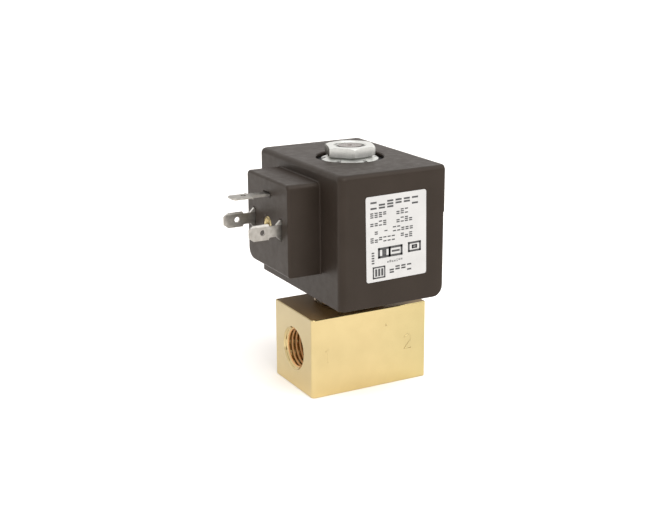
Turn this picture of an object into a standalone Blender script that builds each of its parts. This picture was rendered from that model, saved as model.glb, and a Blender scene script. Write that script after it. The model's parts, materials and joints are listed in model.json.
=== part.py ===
"""Direct-acting 2/2-way solenoid valve: G1/4 brass body, plunger guide tube and swivelling moulded coil.

Frame: metres, +Z up along the plunger. The origin is on the bottom face of the brass body, below the plunger.
The fluid flows along +X, from the inlet port at -X to the outlet port at +X. The coil's connector faces -X and
its rating label faces -Y.
"""

import math

import bmesh
import bpy
from mathutils import Matrix, Vector

MM = 0.001
REST_GAP = 0.2 * MM  # left between pieces that rest on each other
PAST = 1.0 * MM  # how far a cutter runs past the face that it cuts
ROUND = 40  # sides of a large round
SMALL_ROUND = 24  # sides of a small round
CORNER_STEPS = 4  # sides of a rounded corner
EDGE_STEPS = 3  # sides of a rounded edge
ALONG_X = Matrix.Rotation(math.radians(90), 4, "Y")

# Valve body
BODY_LENGTH = 40 * MM
BODY_WIDTH = 25 * MM
BODY_HEIGHT = 25 * MM
BODY_EDGE = 0.4 * MM
BODY_CORNERS = (0.5 * MM, 0.5 * MM, 0.5 * MM, 1.2 * MM)  # upright edges, from +X-Y anticlockwise
PORT_HEIGHT = 12.5 * MM
PORT_RADIUS = 11.445 / 2 * MM  # minor radius of the G1/4 thread
PORT_MOUTH_RADIUS = 6.75 * MM
PORT_CHAMFER = 1.0 * MM
PORT_DEPTH = 10.2 * MM
GLAND_BORE_RADIUS = 9.0 * MM
RING_LEDGE_Z = 18.6 * MM
CHAMBER_RADIUS = 6.9 * MM
CHAMBER_FLOOR_Z = 16.0 * MM
SEAT_TOP_Z = 17.6 * MM
SEAT_FOOT_RADIUS = 2.6 * MM
SEAT_TOP_RADIUS = 2.2 * MM
ORIFICE_RADIUS = 1.5 * MM
OUTLET_DRILLING_RADIUS = 2.0 * MM
INLET_DRILLING_RADIUS = 1.6 * MM
INLET_DRILLING_ENDS = (Vector((-11.5, 0, 12.0)) * MM, Vector((-4.6, 0, 17.4)) * MM)

# Guide tube, its gland and its seal
TUBE_RADIUS = 6.95 * MM
TUBE_BORE_RADIUS = 6.35 * MM
TUBE_FLANGE_RADIUS = 8.7 * MM
TUBE_BOTTOM_Z = 20.4 * MM
TUBE_FLANGE_THICKNESS = 1.0 * MM
TUBE_TOP_Z = 68.6 * MM
O_RING_SECTION_RADIUS = 0.75 * MM
O_RING_RADIUS = 7.95 * MM
O_RING_SECTION_SIDES = 8
GLAND_SPIGOT_RADIUS = 8.8 * MM
GLAND_BORE_IN_COLLAR = 7.15 * MM
GLAND_COLLAR_RADIUS = 11.3 * MM
GLAND_COLLAR_HEIGHT = 0.8 * MM
GLAND_CHAMFER = 0.3 * MM
GLAND_HEX_FLATS = 17 * MM
GLAND_TOP_Z = 30.6 * MM

# Plunger, its seal, its spring and the fixed core
PLUNGER_RADIUS = 6.1 * MM
PLUNGER_BOTTOM_Z = 18.0 * MM
PLUNGER_TOP_Z = 46.3 * MM
PLUNGER_CHAMFER = 0.5 * MM
PLUNGER_BORE_RADIUS = 3.0 * MM
PLUNGER_BORE_DEPTH = 14.0 * MM
FLOW_GROOVES = 4
FLOW_GROOVE_WIDTH = 1.6 * MM
FLOW_GROOVE_DEPTH = 0.6 * MM
SEAL_RADIUS = 3.15 * MM
SEAL_THICKNESS = 2.15 * MM
SEAL_EDGE = 0.15 * MM
SEAL_POCKET_RADIUS = 3.4 * MM
SEAL_POCKET_DEPTH = 2.2 * MM
SPRING_RADIUS = 2.3 * MM
SPRING_WIRE_RADIUS = 0.35 * MM
SPRING_TURNS = 7.5
SPRING_STEPS = 12  # points in one turn
CORE_RADIUS = 6.15 * MM
CORE_BOTTOM_Z = 48.0 * MM
CORE_SHOULDER_Z = 68.3 * MM
STUD_RADIUS = 4.85 * MM
STUD_TOP_Z = 74.05 * MM
STUD_END_RADIUS = 3.6 * MM
STUD_CHAMFER = 1.25 * MM
SHADING_GROOVE_RADII = (4.0 * MM, 5.2 * MM)
SHADING_GROOVE_DEPTH = 1.7 * MM
SHADING_RING_RADII = (4.2 * MM, 5.0 * MM)
SHADING_RING_HEIGHT = 1.35 * MM
SHADING_RING_SUNK = 0.15 * MM

# Coil housing
HOUSING_X = (-17.65 * MM, 17.65 * MM)
HOUSING_Y = (-26.0 * MM, 26.0 * MM)
HOUSING_BOTTOM_Z = 30.9 * MM
HOUSING_TOP_Z = 70.7 * MM
HOUSING_CORNERS = (0.9 * MM, 0.9 * MM, 0.9 * MM, 2.0 * MM)  # upright edges, from +X-Y anticlockwise
HOUSING_TOP_EDGES = (1.6 * MM, 0.4 * MM, 1.6 * MM, 0.4 * MM)  # at -X, +X, -Y, +Y
HOUSING_BOTTOM_EDGES = (0.35 * MM, 3.2 * MM, 0.35 * MM, 0.35 * MM)  # at -X, +X, -Y, +Y
HOUSING_STEP_Z = 56.6 * MM  # the +X side stands out a little above this
HOUSING_STEP = 0.25 * MM
BOSS_FRONT_X = -28.0 * MM
BOSS_Y = (-14.0 * MM, 14.0 * MM)
BOSS_Z = (39.5 * MM, 67.0 * MM)
BOSS_CORNERS = (3.5 * MM, 1.5 * MM, 1.5 * MM, 0.6 * MM)  # +Y low, +Y high, -Y high, -Y low
BOSS_FRONT_EDGE = 0.8 * MM
BOSS_ROOT = 1.5 * MM  # how far the boss runs into the housing
RECESS_RADIUS = 10.35 * MM
HOUSING_BORE_RADIUS = 9.0 * MM

# Yoke, bobbin and winding
YOKE_LENGTH = 25.0 * MM
YOKE_WIDTH = 48.4 * MM
YOKE_BOTTOM_Z = 33.4 * MM
YOKE_TOP_Z = 69.4 * MM
YOKE_PLATE = 3.0 * MM
YOKE_SIDE_PLATE = 2.8 * MM
COIL_BORE_RADIUS = 7.3 * MM
BOBBIN_FLANGE_RADIUS = 15.0 * MM
BOBBIN_TUBE_RADIUS = 8.5 * MM
BOBBIN_FLANGE = 1.4 * MM
WINDING_RADII = (8.65 * MM, 14.4 * MM)
INNER_GAP = 0.3 * MM  # between the housing, the yoke and the bobbin
WINDING_CHAMBER_RADIUS = 16.0 * MM

# Connector
PIN_THICKNESS = 0.8 * MM
LINE_PIN_SPREAD = 9.0 * MM  # from the middle plane to each line terminal
LINE_PIN_Z = 53.1 * MM
EARTH_PIN_Z = 62.1 * MM
PIN_INNER_X = -17.6 * MM
LINE_PIN = {"tip_x": -38.2 * MM, "foot": 3.0 * MM, "blade": 2.35 * MM, "tip": 1.2 * MM}  # half widths
EARTH_PIN = {"tip_x": -39.8 * MM, "foot": 2.2 * MM, "blade": 2.9 * MM, "tip": 1.6 * MM}
PIN_NECK_HALF = 1.65 * MM
PIN_FLARE = 1.35 * MM
PIN_BLADE_LENGTH = 4.6 * MM
PIN_STEP = 0.3 * MM
PIN_TAPER = 1.5 * MM
PIN_HOLE_RADIUS = 0.85 * MM
PIN_HOLE_FROM_TIP = 4.3 * MM
PIN_HOLE_SIDES = 16
SLOT_CLEARANCE = 0.3 * MM
WIRING_ROOM = ((-20.0 * MM, -12.0 * MM), (-11.5 * MM, 11.5 * MM), (47.0 * MM, 64.5 * MM))
STRAP_ROOM = ((-16.3 * MM, -12.0 * MM), (-3.0 * MM, 3.0 * MM), (64.0 * MM, 69.0 * MM))
WIRE_RADIUS = 0.35 * MM
INSERT_Z = 53.0 * MM
INSERT_RADIUS = 2.35 * MM
INSERT_HOLE_RADIUS = 1.25 * MM  # minor radius of M3
INSERT_LENGTH = 5.6 * MM
INSERT_GROOVE = 0.35 * MM

# Rating label
LABEL_WIDTH = 20.25 * MM
LABEL_HEIGHT = 25.4 * MM
LABEL_MIDDLE_X = 0.8 * MM
LABEL_MIDDLE_Z = 51.5 * MM
LABEL_TILT = math.radians(-1)
LABEL_THICKNESS = 0.1 * MM
LABEL_CORNER = 0.7 * MM
LABEL_GAP = 0.05 * MM

# Lock washer and nut
WASHER_RADII = (5.3 * MM, 8.65 * MM)
WASHER_RIM_Z = 69.5 * MM
WASHER_THICKNESS = 0.6 * MM
WASHER_DISH = 1.05 * MM
WASHER_TEETH = 6
WASHER_TURNED_BY = math.radians(6)
WASHER_NOTCH_WIDTH = 1.3 * MM
WASHER_NOTCH_DEPTH = 1.4 * MM
NUT_FLATS = 14 * MM
NUT_BOTTOM_Z = 71.3 * MM
NUT_HEIGHT = 2.9 * MM
NUT_HOLE_RADIUS = 5.0 * MM
NUT_FACE_RADIUS = 7.3 * MM
NUT_CHAMFER = 0.6 * MM
NUT_CHAMFER_SLOPE = math.radians(27)
NUT_TURNED_BY = math.radians(11.57)

BRASS = ("brass", (0.80, 0.58, 0.26), 0.28, 1.0)
STAINLESS = ("stainless_steel", (0.62, 0.62, 0.60), 0.30, 1.0)
MAGNETIC_STEEL = ("magnetic_stainless", (0.50, 0.50, 0.49), 0.38, 1.0)
SPRING_STEEL = ("spring_steel", (0.55, 0.55, 0.54), 0.30, 1.0)
COPPER = ("copper", (0.83, 0.43, 0.26), 0.32, 1.0)
PTFE = ("white_ptfe", (0.90, 0.90, 0.88), 0.45, 0.0)
SEAL_RUBBER = ("seal_rubber", (0.03, 0.03, 0.03), 0.70, 0.0)
HOUSING_PLASTIC = ("black_moulding", (0.065, 0.058, 0.053), 0.45, 0.0)
BOBBIN_PLASTIC = ("bobbin_plastic", (0.12, 0.12, 0.13), 0.50, 0.0)
YOKE_STEEL = ("blackened_steel", (0.10, 0.10, 0.11), 0.50, 1.0)
TINNED = ("tinned_brass", (0.72, 0.71, 0.68), 0.28, 1.0)
WIRE_ENAMEL = ("wire_enamel", (0.55, 0.16, 0.06), 0.35, 0.0)
EARTH_GREEN = ("earth_wire", (0.12, 0.42, 0.10), 0.45, 0.0)
LABEL_FILM = ("label_film", (0.85, 0.85, 0.84), 0.40, 0.0)
ZINC = ("zinc_plated_steel", (0.66, 0.68, 0.64), 0.30, 1.0)

parts = bpy.data.collections.new("solenoid_valve")
cutters = bpy.data.collections.new("cutters")


def clear_scene():
    for obj in list(bpy.data.objects):
        bpy.data.objects.remove(obj)
    bpy.context.scene.collection.children.link(parts)
    bpy.context.scene.collection.children.link(cutters)


def material(finish):
    name, colour, roughness, metallic = finish
    found = bpy.data.materials.get(name)
    if found:
        return found
    made = bpy.data.materials.new(name)
    made.use_nodes = True
    shader = made.node_tree.nodes["Principled BSDF"]
    shader.inputs["Base Color"].default_value = (*colour, 1)
    shader.inputs["Roughness"].default_value = roughness
    shader.inputs["Metallic"].default_value = metallic
    made.diffuse_color = (*colour, 1)
    return made


def add_object(name, data, finish=None):
    """Links data as a part of the valve, or as a cutter if it has no finish."""
    obj = bpy.data.objects.new(name, data)
    if finish:
        parts.objects.link(obj)
        data.materials.append(material(finish))
    else:
        cutters.objects.link(obj)
        obj.hide_render = True
        obj.display_type = "WIRE"
    return obj


def mesh_from(bm, name, smooth=False):
    mesh = bpy.data.meshes.new(name)
    bm.to_mesh(mesh)
    bm.free()
    if smooth:
        mesh.shade_smooth()
        mesh.set_sharp_from_angle(angle=math.radians(35))
    return mesh


def block(name, x_range, y_range, z_range, finish=None):
    low, high = Vector((x_range[0], y_range[0], z_range[0])), Vector((x_range[1], y_range[1], z_range[1]))
    bm = bmesh.new()
    bmesh.ops.create_cube(bm, size=1.0)
    bmesh.ops.scale(bm, vec=high - low, verts=bm.verts)
    obj = add_object(name, mesh_from(bm, name), finish)
    obj.location = (low + high) / 2
    return obj


def rod(name, radius, start, end, finish=None, sides=ROUND, end_radius=None, turn=0.0):
    """A cylinder or cone from start to end."""
    bm = bmesh.new()
    along = end - start
    bmesh.ops.create_cone(
        bm,
        cap_ends=True,
        segments=sides,
        radius1=radius,
        radius2=radius if end_radius is None else end_radius,
        depth=along.length,
    )
    bmesh.ops.rotate(bm, cent=(0, 0, 0), matrix=Matrix.Rotation(turn, 3, "Z"), verts=bm.verts)
    obj = add_object(name, mesh_from(bm, name, smooth=True), finish)
    turned_along = along.to_track_quat("Z", "Y").to_matrix().to_4x4()
    obj.matrix_world = Matrix.Translation((start + end) / 2) @ turned_along
    return obj


def turned(name, profile, finish=None, sides=ROUND, closed=False):
    """A solid turned about Z. The profile's (radius, height) points run down the outer side.

    An open profile starts and ends on the axis, and a closed one goes round a ring's section."""
    bm = bmesh.new()
    verts = [bm.verts.new((radius, 0, height)) for radius, height in profile]
    for start, end in zip(verts, verts[1:]):
        bm.edges.new((start, end))
    if closed:
        bm.edges.new((verts[-1], verts[0]))
    obj = add_object(name, mesh_from(bm, name), finish)
    screw = obj.modifiers.new("turn", "SCREW")
    screw.steps = sides
    screw.render_steps = sides
    screw.use_merge_vertices = True
    screw.merge_threshold = 0.00001
    screw.use_normal_calculate = False
    return obj


def combine(target, tool, operation="DIFFERENCE"):
    step = target.modifiers.new(tool.name, "BOOLEAN")
    step.operation = operation
    step.object = tool
    step.solver = "EXACT"


def soften(obj, width, segments=2):
    bevel = obj.modifiers.new("soften", "BEVEL")
    bevel.width = width
    bevel.segments = segments
    bevel.limit_method = "ANGLE"
    bevel.angle_limit = math.radians(40)


def rounded_outline(a_range, b_range, radii):
    """A rounded rectangle as (a, b) points, anticlockwise from the corner at high a and low b."""
    outline = []
    signs = [(1, -1), (1, 1), (-1, 1), (-1, -1)]
    for (a_sign, b_sign), radius, first in zip(signs, radii, (-90, 0, 90, 180)):
        a = a_range[a_sign > 0] - a_sign * radius
        b = b_range[b_sign > 0] - b_sign * radius
        for step in range(CORNER_STEPS + 1):
            angle = math.radians(first + 90 * step / CORNER_STEPS)
            outline.append((a + math.cos(angle) * radius, b + math.sin(angle) * radius))
    return outline


def quarter_round(radius):
    """(distance from the face, inset) pairs for an edge rounded to radius, from the face down."""
    angles = [math.radians(90 * step / EDGE_STEPS) for step in range(EDGE_STEPS + 1)]
    return [(radius * (1 - math.cos(angle)), radius * (1 - math.sin(angle))) for angle in angles]


def inset_at(distance, radius):
    """How far an edge rounded to radius draws its side in, at that distance from the face."""
    short = min(max(radius - distance, 0.0), radius)
    return radius - math.sqrt(radius**2 - short**2)


def loft(name, rings, finish=None):
    """A solid through rings of points, each ring closed, from the first ring to the last."""
    bm = bmesh.new()
    rows = [[bm.verts.new(point) for point in ring] for ring in rings]
    bm.faces.new(reversed(rows[0]))
    bm.faces.new(rows[-1])
    for near, far in zip(rows, rows[1:]):
        for index, corner in enumerate(near):
            after = (index + 1) % len(near)
            bm.faces.new((corner, near[after], far[after], far[index]))
    bmesh.ops.recalc_face_normals(bm, faces=bm.faces)
    return add_object(name, mesh_from(bm, name, smooth=True), finish)


def cable(name, points, radius, finish):
    """A wire along points, with filled ends."""
    curve = bpy.data.curves.new(name, "CURVE")
    curve.dimensions = "3D"
    curve.bevel_depth = radius
    curve.bevel_resolution = 2
    curve.use_fill_caps = True
    spline = curve.splines.new("POLY")
    spline.points.add(len(points) - 1)
    for point, place in zip(spline.points, points):
        point.co = (*place, 1)
    return add_object(name, curve, finish)


def smooth_route(corners, steps=6):
    """Points on a Catmull-Rom curve through the corners."""
    first = corners[0] * 2 - corners[1]
    last = corners[-1] * 2 - corners[-2]
    knots = [first, *corners, last]
    route = []
    for before, start, end, after in zip(knots, knots[1:], knots[2:], knots[3:]):
        for step in range(steps):
            t = step / steps
            route.append(
                0.5
                * (
                    2 * start
                    + (end - before) * t
                    + (2 * before - 5 * start + 4 * end - after) * t**2
                    + (3 * start - before - 3 * end + after) * t**3
                )
            )
    route.append(corners[-1])
    return route


def port_cutter(side, port):
    """A port with its mouth, turned on Z and laid along X into the body's side at -X or +X."""
    slope = (PORT_MOUTH_RADIUS - PORT_RADIUS) / PORT_CHAMFER
    cutter = turned(
        port + "_cutter",
        [
            (0, PORT_DEPTH),
            (PORT_RADIUS, PORT_DEPTH),
            (PORT_RADIUS, PORT_CHAMFER),
            (PORT_MOUTH_RADIUS + slope * PAST, -PAST),
            (0, -PAST),
        ],
    )
    into_body = Matrix.Rotation(math.radians(180), 4, "Z") if side > 0 else Matrix.Identity(4)
    cutter.matrix_world = Matrix.Translation((side * BODY_LENGTH / 2, 0, PORT_HEIGHT)) @ into_body @ ALONG_X
    return cutter


def make_valve_body():
    half_length, half_width = BODY_LENGTH / 2, BODY_WIDTH / 2
    stations = quarter_round(BODY_EDGE)
    stations += [(BODY_HEIGHT - rise, inset) for rise, inset in reversed(stations)]
    rings = []
    for height, inset in stations:
        x_range = (inset - half_length, half_length - inset)
        y_range = (inset - half_width, half_width - inset)
        outline = rounded_outline(x_range, y_range, BODY_CORNERS)
        rings.append([Vector((x, y, height)) for x, y in outline])
    body = loft("valve_body", rings, BRASS)
    for side, port in ((-1, "inlet"), (1, "outlet")):
        combine(body, port_cutter(side, port))
    tube_seat = turned(
        "tube_seat_cutter",
        [
            (0, BODY_HEIGHT + PAST),
            (GLAND_BORE_RADIUS, BODY_HEIGHT + PAST),
            (GLAND_BORE_RADIUS, RING_LEDGE_Z),
            (CHAMBER_RADIUS, RING_LEDGE_Z),
            (CHAMBER_RADIUS, CHAMBER_FLOOR_Z),
            (SEAT_FOOT_RADIUS, CHAMBER_FLOOR_Z),
            (SEAT_TOP_RADIUS, SEAT_TOP_Z),
            (ORIFICE_RADIUS, SEAT_TOP_Z),
            (ORIFICE_RADIUS, PORT_HEIGHT - ORIFICE_RADIUS),
            (0, PORT_HEIGHT - ORIFICE_RADIUS),
        ],
    )
    combine(body, tube_seat)
    inlet_drilling = rod("inlet_drilling_cutter", INLET_DRILLING_RADIUS, *INLET_DRILLING_ENDS, sides=SMALL_ROUND)
    combine(body, inlet_drilling)
    outlet_start = Vector((-ORIFICE_RADIUS, 0, PORT_HEIGHT))
    outlet_end = Vector((half_length - PORT_DEPTH + PAST, 0, PORT_HEIGHT))
    outlet_drilling = rod(
        "outlet_drilling_cutter", OUTLET_DRILLING_RADIUS, outlet_start, outlet_end, sides=SMALL_ROUND
    )
    combine(body, outlet_drilling)


def make_tube_gland():
    """The gland screws into the body and clamps the guide tube's flange. Its collar rests on the body."""
    spigot_bottom = TUBE_BOTTOM_Z + TUBE_FLANGE_THICKNESS + REST_GAP
    collar_bottom = BODY_HEIGHT + REST_GAP
    collar_top = collar_bottom + GLAND_COLLAR_HEIGHT
    gland = turned(
        "tube_gland",
        [
            (0, collar_top),
            (GLAND_COLLAR_RADIUS - GLAND_CHAMFER, collar_top),
            (GLAND_COLLAR_RADIUS, collar_top - GLAND_CHAMFER),
            (GLAND_COLLAR_RADIUS, collar_bottom),
            (GLAND_SPIGOT_RADIUS, collar_bottom),
            (GLAND_SPIGOT_RADIUS, spigot_bottom),
            (0, spigot_bottom),
        ],
        BRASS,
    )
    hexagon = rod(
        "gland_hexagon",
        GLAND_HEX_FLATS / 2 / math.cos(math.radians(30)),
        Vector((0, 0, collar_top - PAST)),
        Vector((0, 0, GLAND_TOP_Z)),
        sides=6,
    )
    combine(gland, hexagon, "UNION")
    bore_ends = (Vector((0, 0, spigot_bottom - PAST)), Vector((0, 0, GLAND_TOP_Z + PAST)))
    bore = rod("gland_bore_cutter", GLAND_BORE_IN_COLLAR, *bore_ends)
    combine(gland, bore)


def make_guide_tube():
    flange_top = TUBE_BOTTOM_Z + TUBE_FLANGE_THICKNESS
    turned(
        "guide_tube",
        [
            (TUBE_RADIUS, TUBE_TOP_Z),
            (TUBE_RADIUS, flange_top),
            (TUBE_FLANGE_RADIUS, flange_top),
            (TUBE_FLANGE_RADIUS, TUBE_BOTTOM_Z),
            (TUBE_BORE_RADIUS, TUBE_BOTTOM_Z),
            (TUBE_BORE_RADIUS, TUBE_TOP_Z),
        ],
        STAINLESS,
        closed=True,
    )


def make_body_o_ring():
    section = []
    for step in range(O_RING_SECTION_SIDES):
        angle = math.radians(90) - step * math.tau / O_RING_SECTION_SIDES
        height = math.sin(angle) * O_RING_SECTION_RADIUS
        section.append((O_RING_RADIUS + math.cos(angle) * O_RING_SECTION_RADIUS, height))
    ring = turned("body_o_ring", section, SEAL_RUBBER, closed=True)
    ring.location.z = RING_LEDGE_Z + O_RING_SECTION_RADIUS + REST_GAP / 2


def make_plunger():
    """The plunger's origin is on its axis, at its bottom end. It slides along Z."""
    length = PLUNGER_TOP_Z - PLUNGER_BOTTOM_Z
    plunger = turned(
        "plunger",
        [
            (PLUNGER_BORE_RADIUS, length),
            (PLUNGER_RADIUS - PLUNGER_CHAMFER, length),
            (PLUNGER_RADIUS, length - PLUNGER_CHAMFER),
            (PLUNGER_RADIUS, PLUNGER_CHAMFER),
            (PLUNGER_RADIUS - PLUNGER_CHAMFER, 0),
            (SEAL_POCKET_RADIUS, 0),
            (SEAL_POCKET_RADIUS, SEAL_POCKET_DEPTH),
            (0, SEAL_POCKET_DEPTH),
            (0, length - PLUNGER_BORE_DEPTH),
            (PLUNGER_BORE_RADIUS, length - PLUNGER_BORE_DEPTH),
        ],
        MAGNETIC_STEEL,
        closed=True,
    )
    plunger.location.z = PLUNGER_BOTTOM_Z
    for index in range(FLOW_GROOVES):
        angle = index * math.tau / FLOW_GROOVES
        groove = block(
            f"flow_groove_cutter_{index + 1}",
            (PLUNGER_RADIUS - FLOW_GROOVE_DEPTH, PLUNGER_RADIUS + PAST),
            (-FLOW_GROOVE_WIDTH / 2, FLOW_GROOVE_WIDTH / 2),
            (PLUNGER_BOTTOM_Z - PAST, PLUNGER_TOP_Z + PAST),
        )
        groove.matrix_world = Matrix.Rotation(angle, 4, "Z") @ Matrix.Translation(groove.location)
        combine(plunger, groove)


def make_seal_disc():
    top = PLUNGER_BOTTOM_Z + SEAL_POCKET_DEPTH - REST_GAP
    disc = rod("seal_disc", SEAL_RADIUS, Vector((0, 0, top - SEAL_THICKNESS)), Vector((0, 0, top)), PTFE)
    soften(disc, SEAL_EDGE, 1)


def make_plunger_spring():
    bottom = PLUNGER_TOP_Z - PLUNGER_BORE_DEPTH + SPRING_WIRE_RADIUS + REST_GAP
    top = CORE_BOTTOM_Z - SPRING_WIRE_RADIUS - REST_GAP
    count = int(SPRING_TURNS * SPRING_STEPS)
    points = []
    for step in range(count + 1):
        angle = step / SPRING_STEPS * math.tau
        height = bottom + (top - bottom) * step / count
        points.append((math.cos(angle) * SPRING_RADIUS, math.sin(angle) * SPRING_RADIUS, height))
    cable("plunger_spring", points, SPRING_WIRE_RADIUS, SPRING_STEEL)


def make_fixed_core():
    groove_inner, groove_outer = SHADING_GROOVE_RADII
    turned(
        "fixed_core",
        [
            (0, STUD_TOP_Z),
            (STUD_END_RADIUS, STUD_TOP_Z),
            (STUD_RADIUS, STUD_TOP_Z - STUD_CHAMFER),
            (STUD_RADIUS, CORE_SHOULDER_Z),
            (CORE_RADIUS, CORE_SHOULDER_Z),
            (CORE_RADIUS, CORE_BOTTOM_Z),
            (groove_outer, CORE_BOTTOM_Z),
            (groove_outer, CORE_BOTTOM_Z + SHADING_GROOVE_DEPTH),
            (groove_inner, CORE_BOTTOM_Z + SHADING_GROOVE_DEPTH),
            (groove_inner, CORE_BOTTOM_Z),
            (0, CORE_BOTTOM_Z),
        ],
        MAGNETIC_STEEL,
    )


def ring(name, radii, bottom, top, finish):
    inner, outer = radii
    return turned(name, [(outer, top), (outer, bottom), (inner, bottom), (inner, top)], finish, closed=True)


def make_shading_ring():
    bottom = CORE_BOTTOM_Z + SHADING_RING_SUNK
    ring("shading_ring", SHADING_RING_RADII, bottom, bottom + SHADING_RING_HEIGHT, COPPER)


def housing_shell(name, finish):
    """The housing's outer block. Each of its sides is drawn in by its own rounded edges."""
    edges = list(zip(HOUSING_BOTTOM_EDGES, HOUSING_TOP_EDGES))
    heights = {HOUSING_STEP_Z, HOUSING_STEP_Z + HOUSING_STEP / 2}
    for low_radius, high_radius in edges:
        heights |= {round(HOUSING_BOTTOM_Z + rise, 7) for rise, _ in quarter_round(low_radius)}
        heights |= {round(HOUSING_TOP_Z - drop, 7) for drop, _ in quarter_round(high_radius)}
    rings = []
    for height in sorted(heights):
        insets = []
        for low_radius, high_radius in edges:
            low_inset = inset_at(height - HOUSING_BOTTOM_Z, low_radius)
            insets.append(low_inset + inset_at(HOUSING_TOP_Z - height, high_radius))
        if height <= HOUSING_STEP_Z:
            insets[1] += HOUSING_STEP
        x_range = (HOUSING_X[0] + insets[0], HOUSING_X[1] - insets[1])
        y_range = (HOUSING_Y[0] + insets[2], HOUSING_Y[1] - insets[3])
        outline = rounded_outline(x_range, y_range, HOUSING_CORNERS)
        rings.append([Vector((x, y, height)) for x, y in outline])
    return loft(name, rings, finish)


def connector_boss():
    """Rounded rectangles one before another, from inside the housing to the rounded front edge."""
    front = [(BOSS_FRONT_X + rise, inset) for rise, inset in quarter_round(BOSS_FRONT_EDGE)]
    rings = []
    for x, inset in [(HOUSING_X[0] + BOSS_ROOT, 0.0)] + front[::-1]:
        y_range = (BOSS_Y[0] + inset, BOSS_Y[1] - inset)
        z_range = (BOSS_Z[0] + inset, BOSS_Z[1] - inset)
        outline = rounded_outline(y_range, z_range, BOSS_CORNERS)
        rings.append([Vector((x, y, z)) for y, z in outline])
    return loft("connector_boss", rings)


def housing_cutters():
    """Everything that the housing is hollow for: yoke, winding, wiring, terminals, tube and nut."""
    half_yoke_length = YOKE_LENGTH / 2 + INNER_GAP
    half_yoke_width = YOKE_WIDTH / 2 + INNER_GAP
    yoke_heights = (YOKE_BOTTOM_Z - INNER_GAP, YOKE_TOP_Z + INNER_GAP)
    yield block(
        "yoke_room_cutter",
        (-half_yoke_length, half_yoke_length),
        (-half_yoke_width, half_yoke_width),
        yoke_heights,
    )
    winding_bottom = Vector((0, 0, YOKE_BOTTOM_Z + YOKE_PLATE))
    winding_top = Vector((0, 0, YOKE_TOP_Z - YOKE_PLATE))
    yield rod("winding_room_cutter", WINDING_CHAMBER_RADIUS, winding_bottom, winding_top)
    recess_top = Vector((0, 0, HOUSING_TOP_Z + PAST))
    yield rod("recess_cutter", RECESS_RADIUS, Vector((0, 0, YOKE_TOP_Z)), recess_top)
    bore_bottom = Vector((0, 0, HOUSING_BOTTOM_Z - PAST))
    yield rod("housing_bore_cutter", HOUSING_BORE_RADIUS, bore_bottom, Vector((0, 0, YOKE_BOTTOM_Z)))
    yield block("wiring_room_cutter", *WIRING_ROOM)
    yield block("strap_room_cutter", *STRAP_ROOM)
    slot_xs = (BOSS_FRONT_X - PAST, WIRING_ROOM[0][0] + PAST)
    half_thickness = PIN_THICKNESS / 2 + SLOT_CLEARANCE
    half_width = LINE_PIN["foot"] + SLOT_CLEARANCE
    for index, y in enumerate((-LINE_PIN_SPREAD, LINE_PIN_SPREAD)):
        yield block(
            f"line_slot_cutter_{index + 1}",
            slot_xs,
            (y - half_thickness, y + half_thickness),
            (LINE_PIN_Z - half_width, LINE_PIN_Z + half_width),
        )
    half_width = EARTH_PIN["foot"] + SLOT_CLEARANCE
    yield block(
        "earth_slot_cutter",
        slot_xs,
        (-half_width, half_width),
        (EARTH_PIN_Z - half_thickness, EARTH_PIN_Z + half_thickness),
    )
    insert_front = Vector((BOSS_FRONT_X - PAST, 0, INSERT_Z))
    insert_back = Vector((BOSS_FRONT_X + INSERT_LENGTH + INNER_GAP, 0, INSERT_Z))
    yield rod("insert_hole_cutter", INSERT_RADIUS + REST_GAP, insert_front, insert_back, sides=SMALL_ROUND)
    screw_end = Vector((WIRING_ROOM[0][0] + PAST, 0, INSERT_Z))
    screw_start = insert_back - Vector((PAST, 0, 0))
    yield rod("screw_hole_cutter", INSERT_HOLE_RADIUS + REST_GAP, screw_start, screw_end, sides=SMALL_ROUND)


def make_coil_housing():
    housing = housing_shell("coil_housing", HOUSING_PLASTIC)
    combine(housing, connector_boss(), "UNION")
    for cutter in housing_cutters():
        combine(housing, cutter)


def make_coil_yoke():
    half_length, half_width = YOKE_LENGTH / 2, YOKE_WIDTH / 2
    yoke = block(
        "coil_yoke",
        (-half_length, half_length),
        (-half_width, half_width),
        (YOKE_BOTTOM_Z, YOKE_TOP_Z),
        YOKE_STEEL,
    )
    window_half = half_width - YOKE_SIDE_PLATE
    window = block(
        "yoke_window_cutter",
        (-half_length - PAST, half_length + PAST),
        (-window_half, window_half),
        (YOKE_BOTTOM_Z + YOKE_PLATE, YOKE_TOP_Z - YOKE_PLATE),
    )
    combine(yoke, window)
    bore_bottom = Vector((0, 0, YOKE_BOTTOM_Z - PAST))
    combine(yoke, rod("yoke_bore_cutter", COIL_BORE_RADIUS, bore_bottom, Vector((0, 0, YOKE_TOP_Z + PAST))))


def make_coil_bobbin():
    bottom = YOKE_BOTTOM_Z + YOKE_PLATE + INNER_GAP
    top = YOKE_TOP_Z - YOKE_PLATE - INNER_GAP
    turned(
        "coil_bobbin",
        [
            (BOBBIN_FLANGE_RADIUS, top),
            (BOBBIN_FLANGE_RADIUS, top - BOBBIN_FLANGE),
            (BOBBIN_TUBE_RADIUS, top - BOBBIN_FLANGE),
            (BOBBIN_TUBE_RADIUS, bottom + BOBBIN_FLANGE),
            (BOBBIN_FLANGE_RADIUS, bottom + BOBBIN_FLANGE),
            (BOBBIN_FLANGE_RADIUS, bottom),
            (COIL_BORE_RADIUS, bottom),
            (COIL_BORE_RADIUS, top),
        ],
        BOBBIN_PLASTIC,
        closed=True,
    )
    ring(
        "coil_winding",
        WINDING_RADII,
        bottom + BOBBIN_FLANGE + REST_GAP,
        top - BOBBIN_FLANGE - REST_GAP,
        COPPER,
    )


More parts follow.
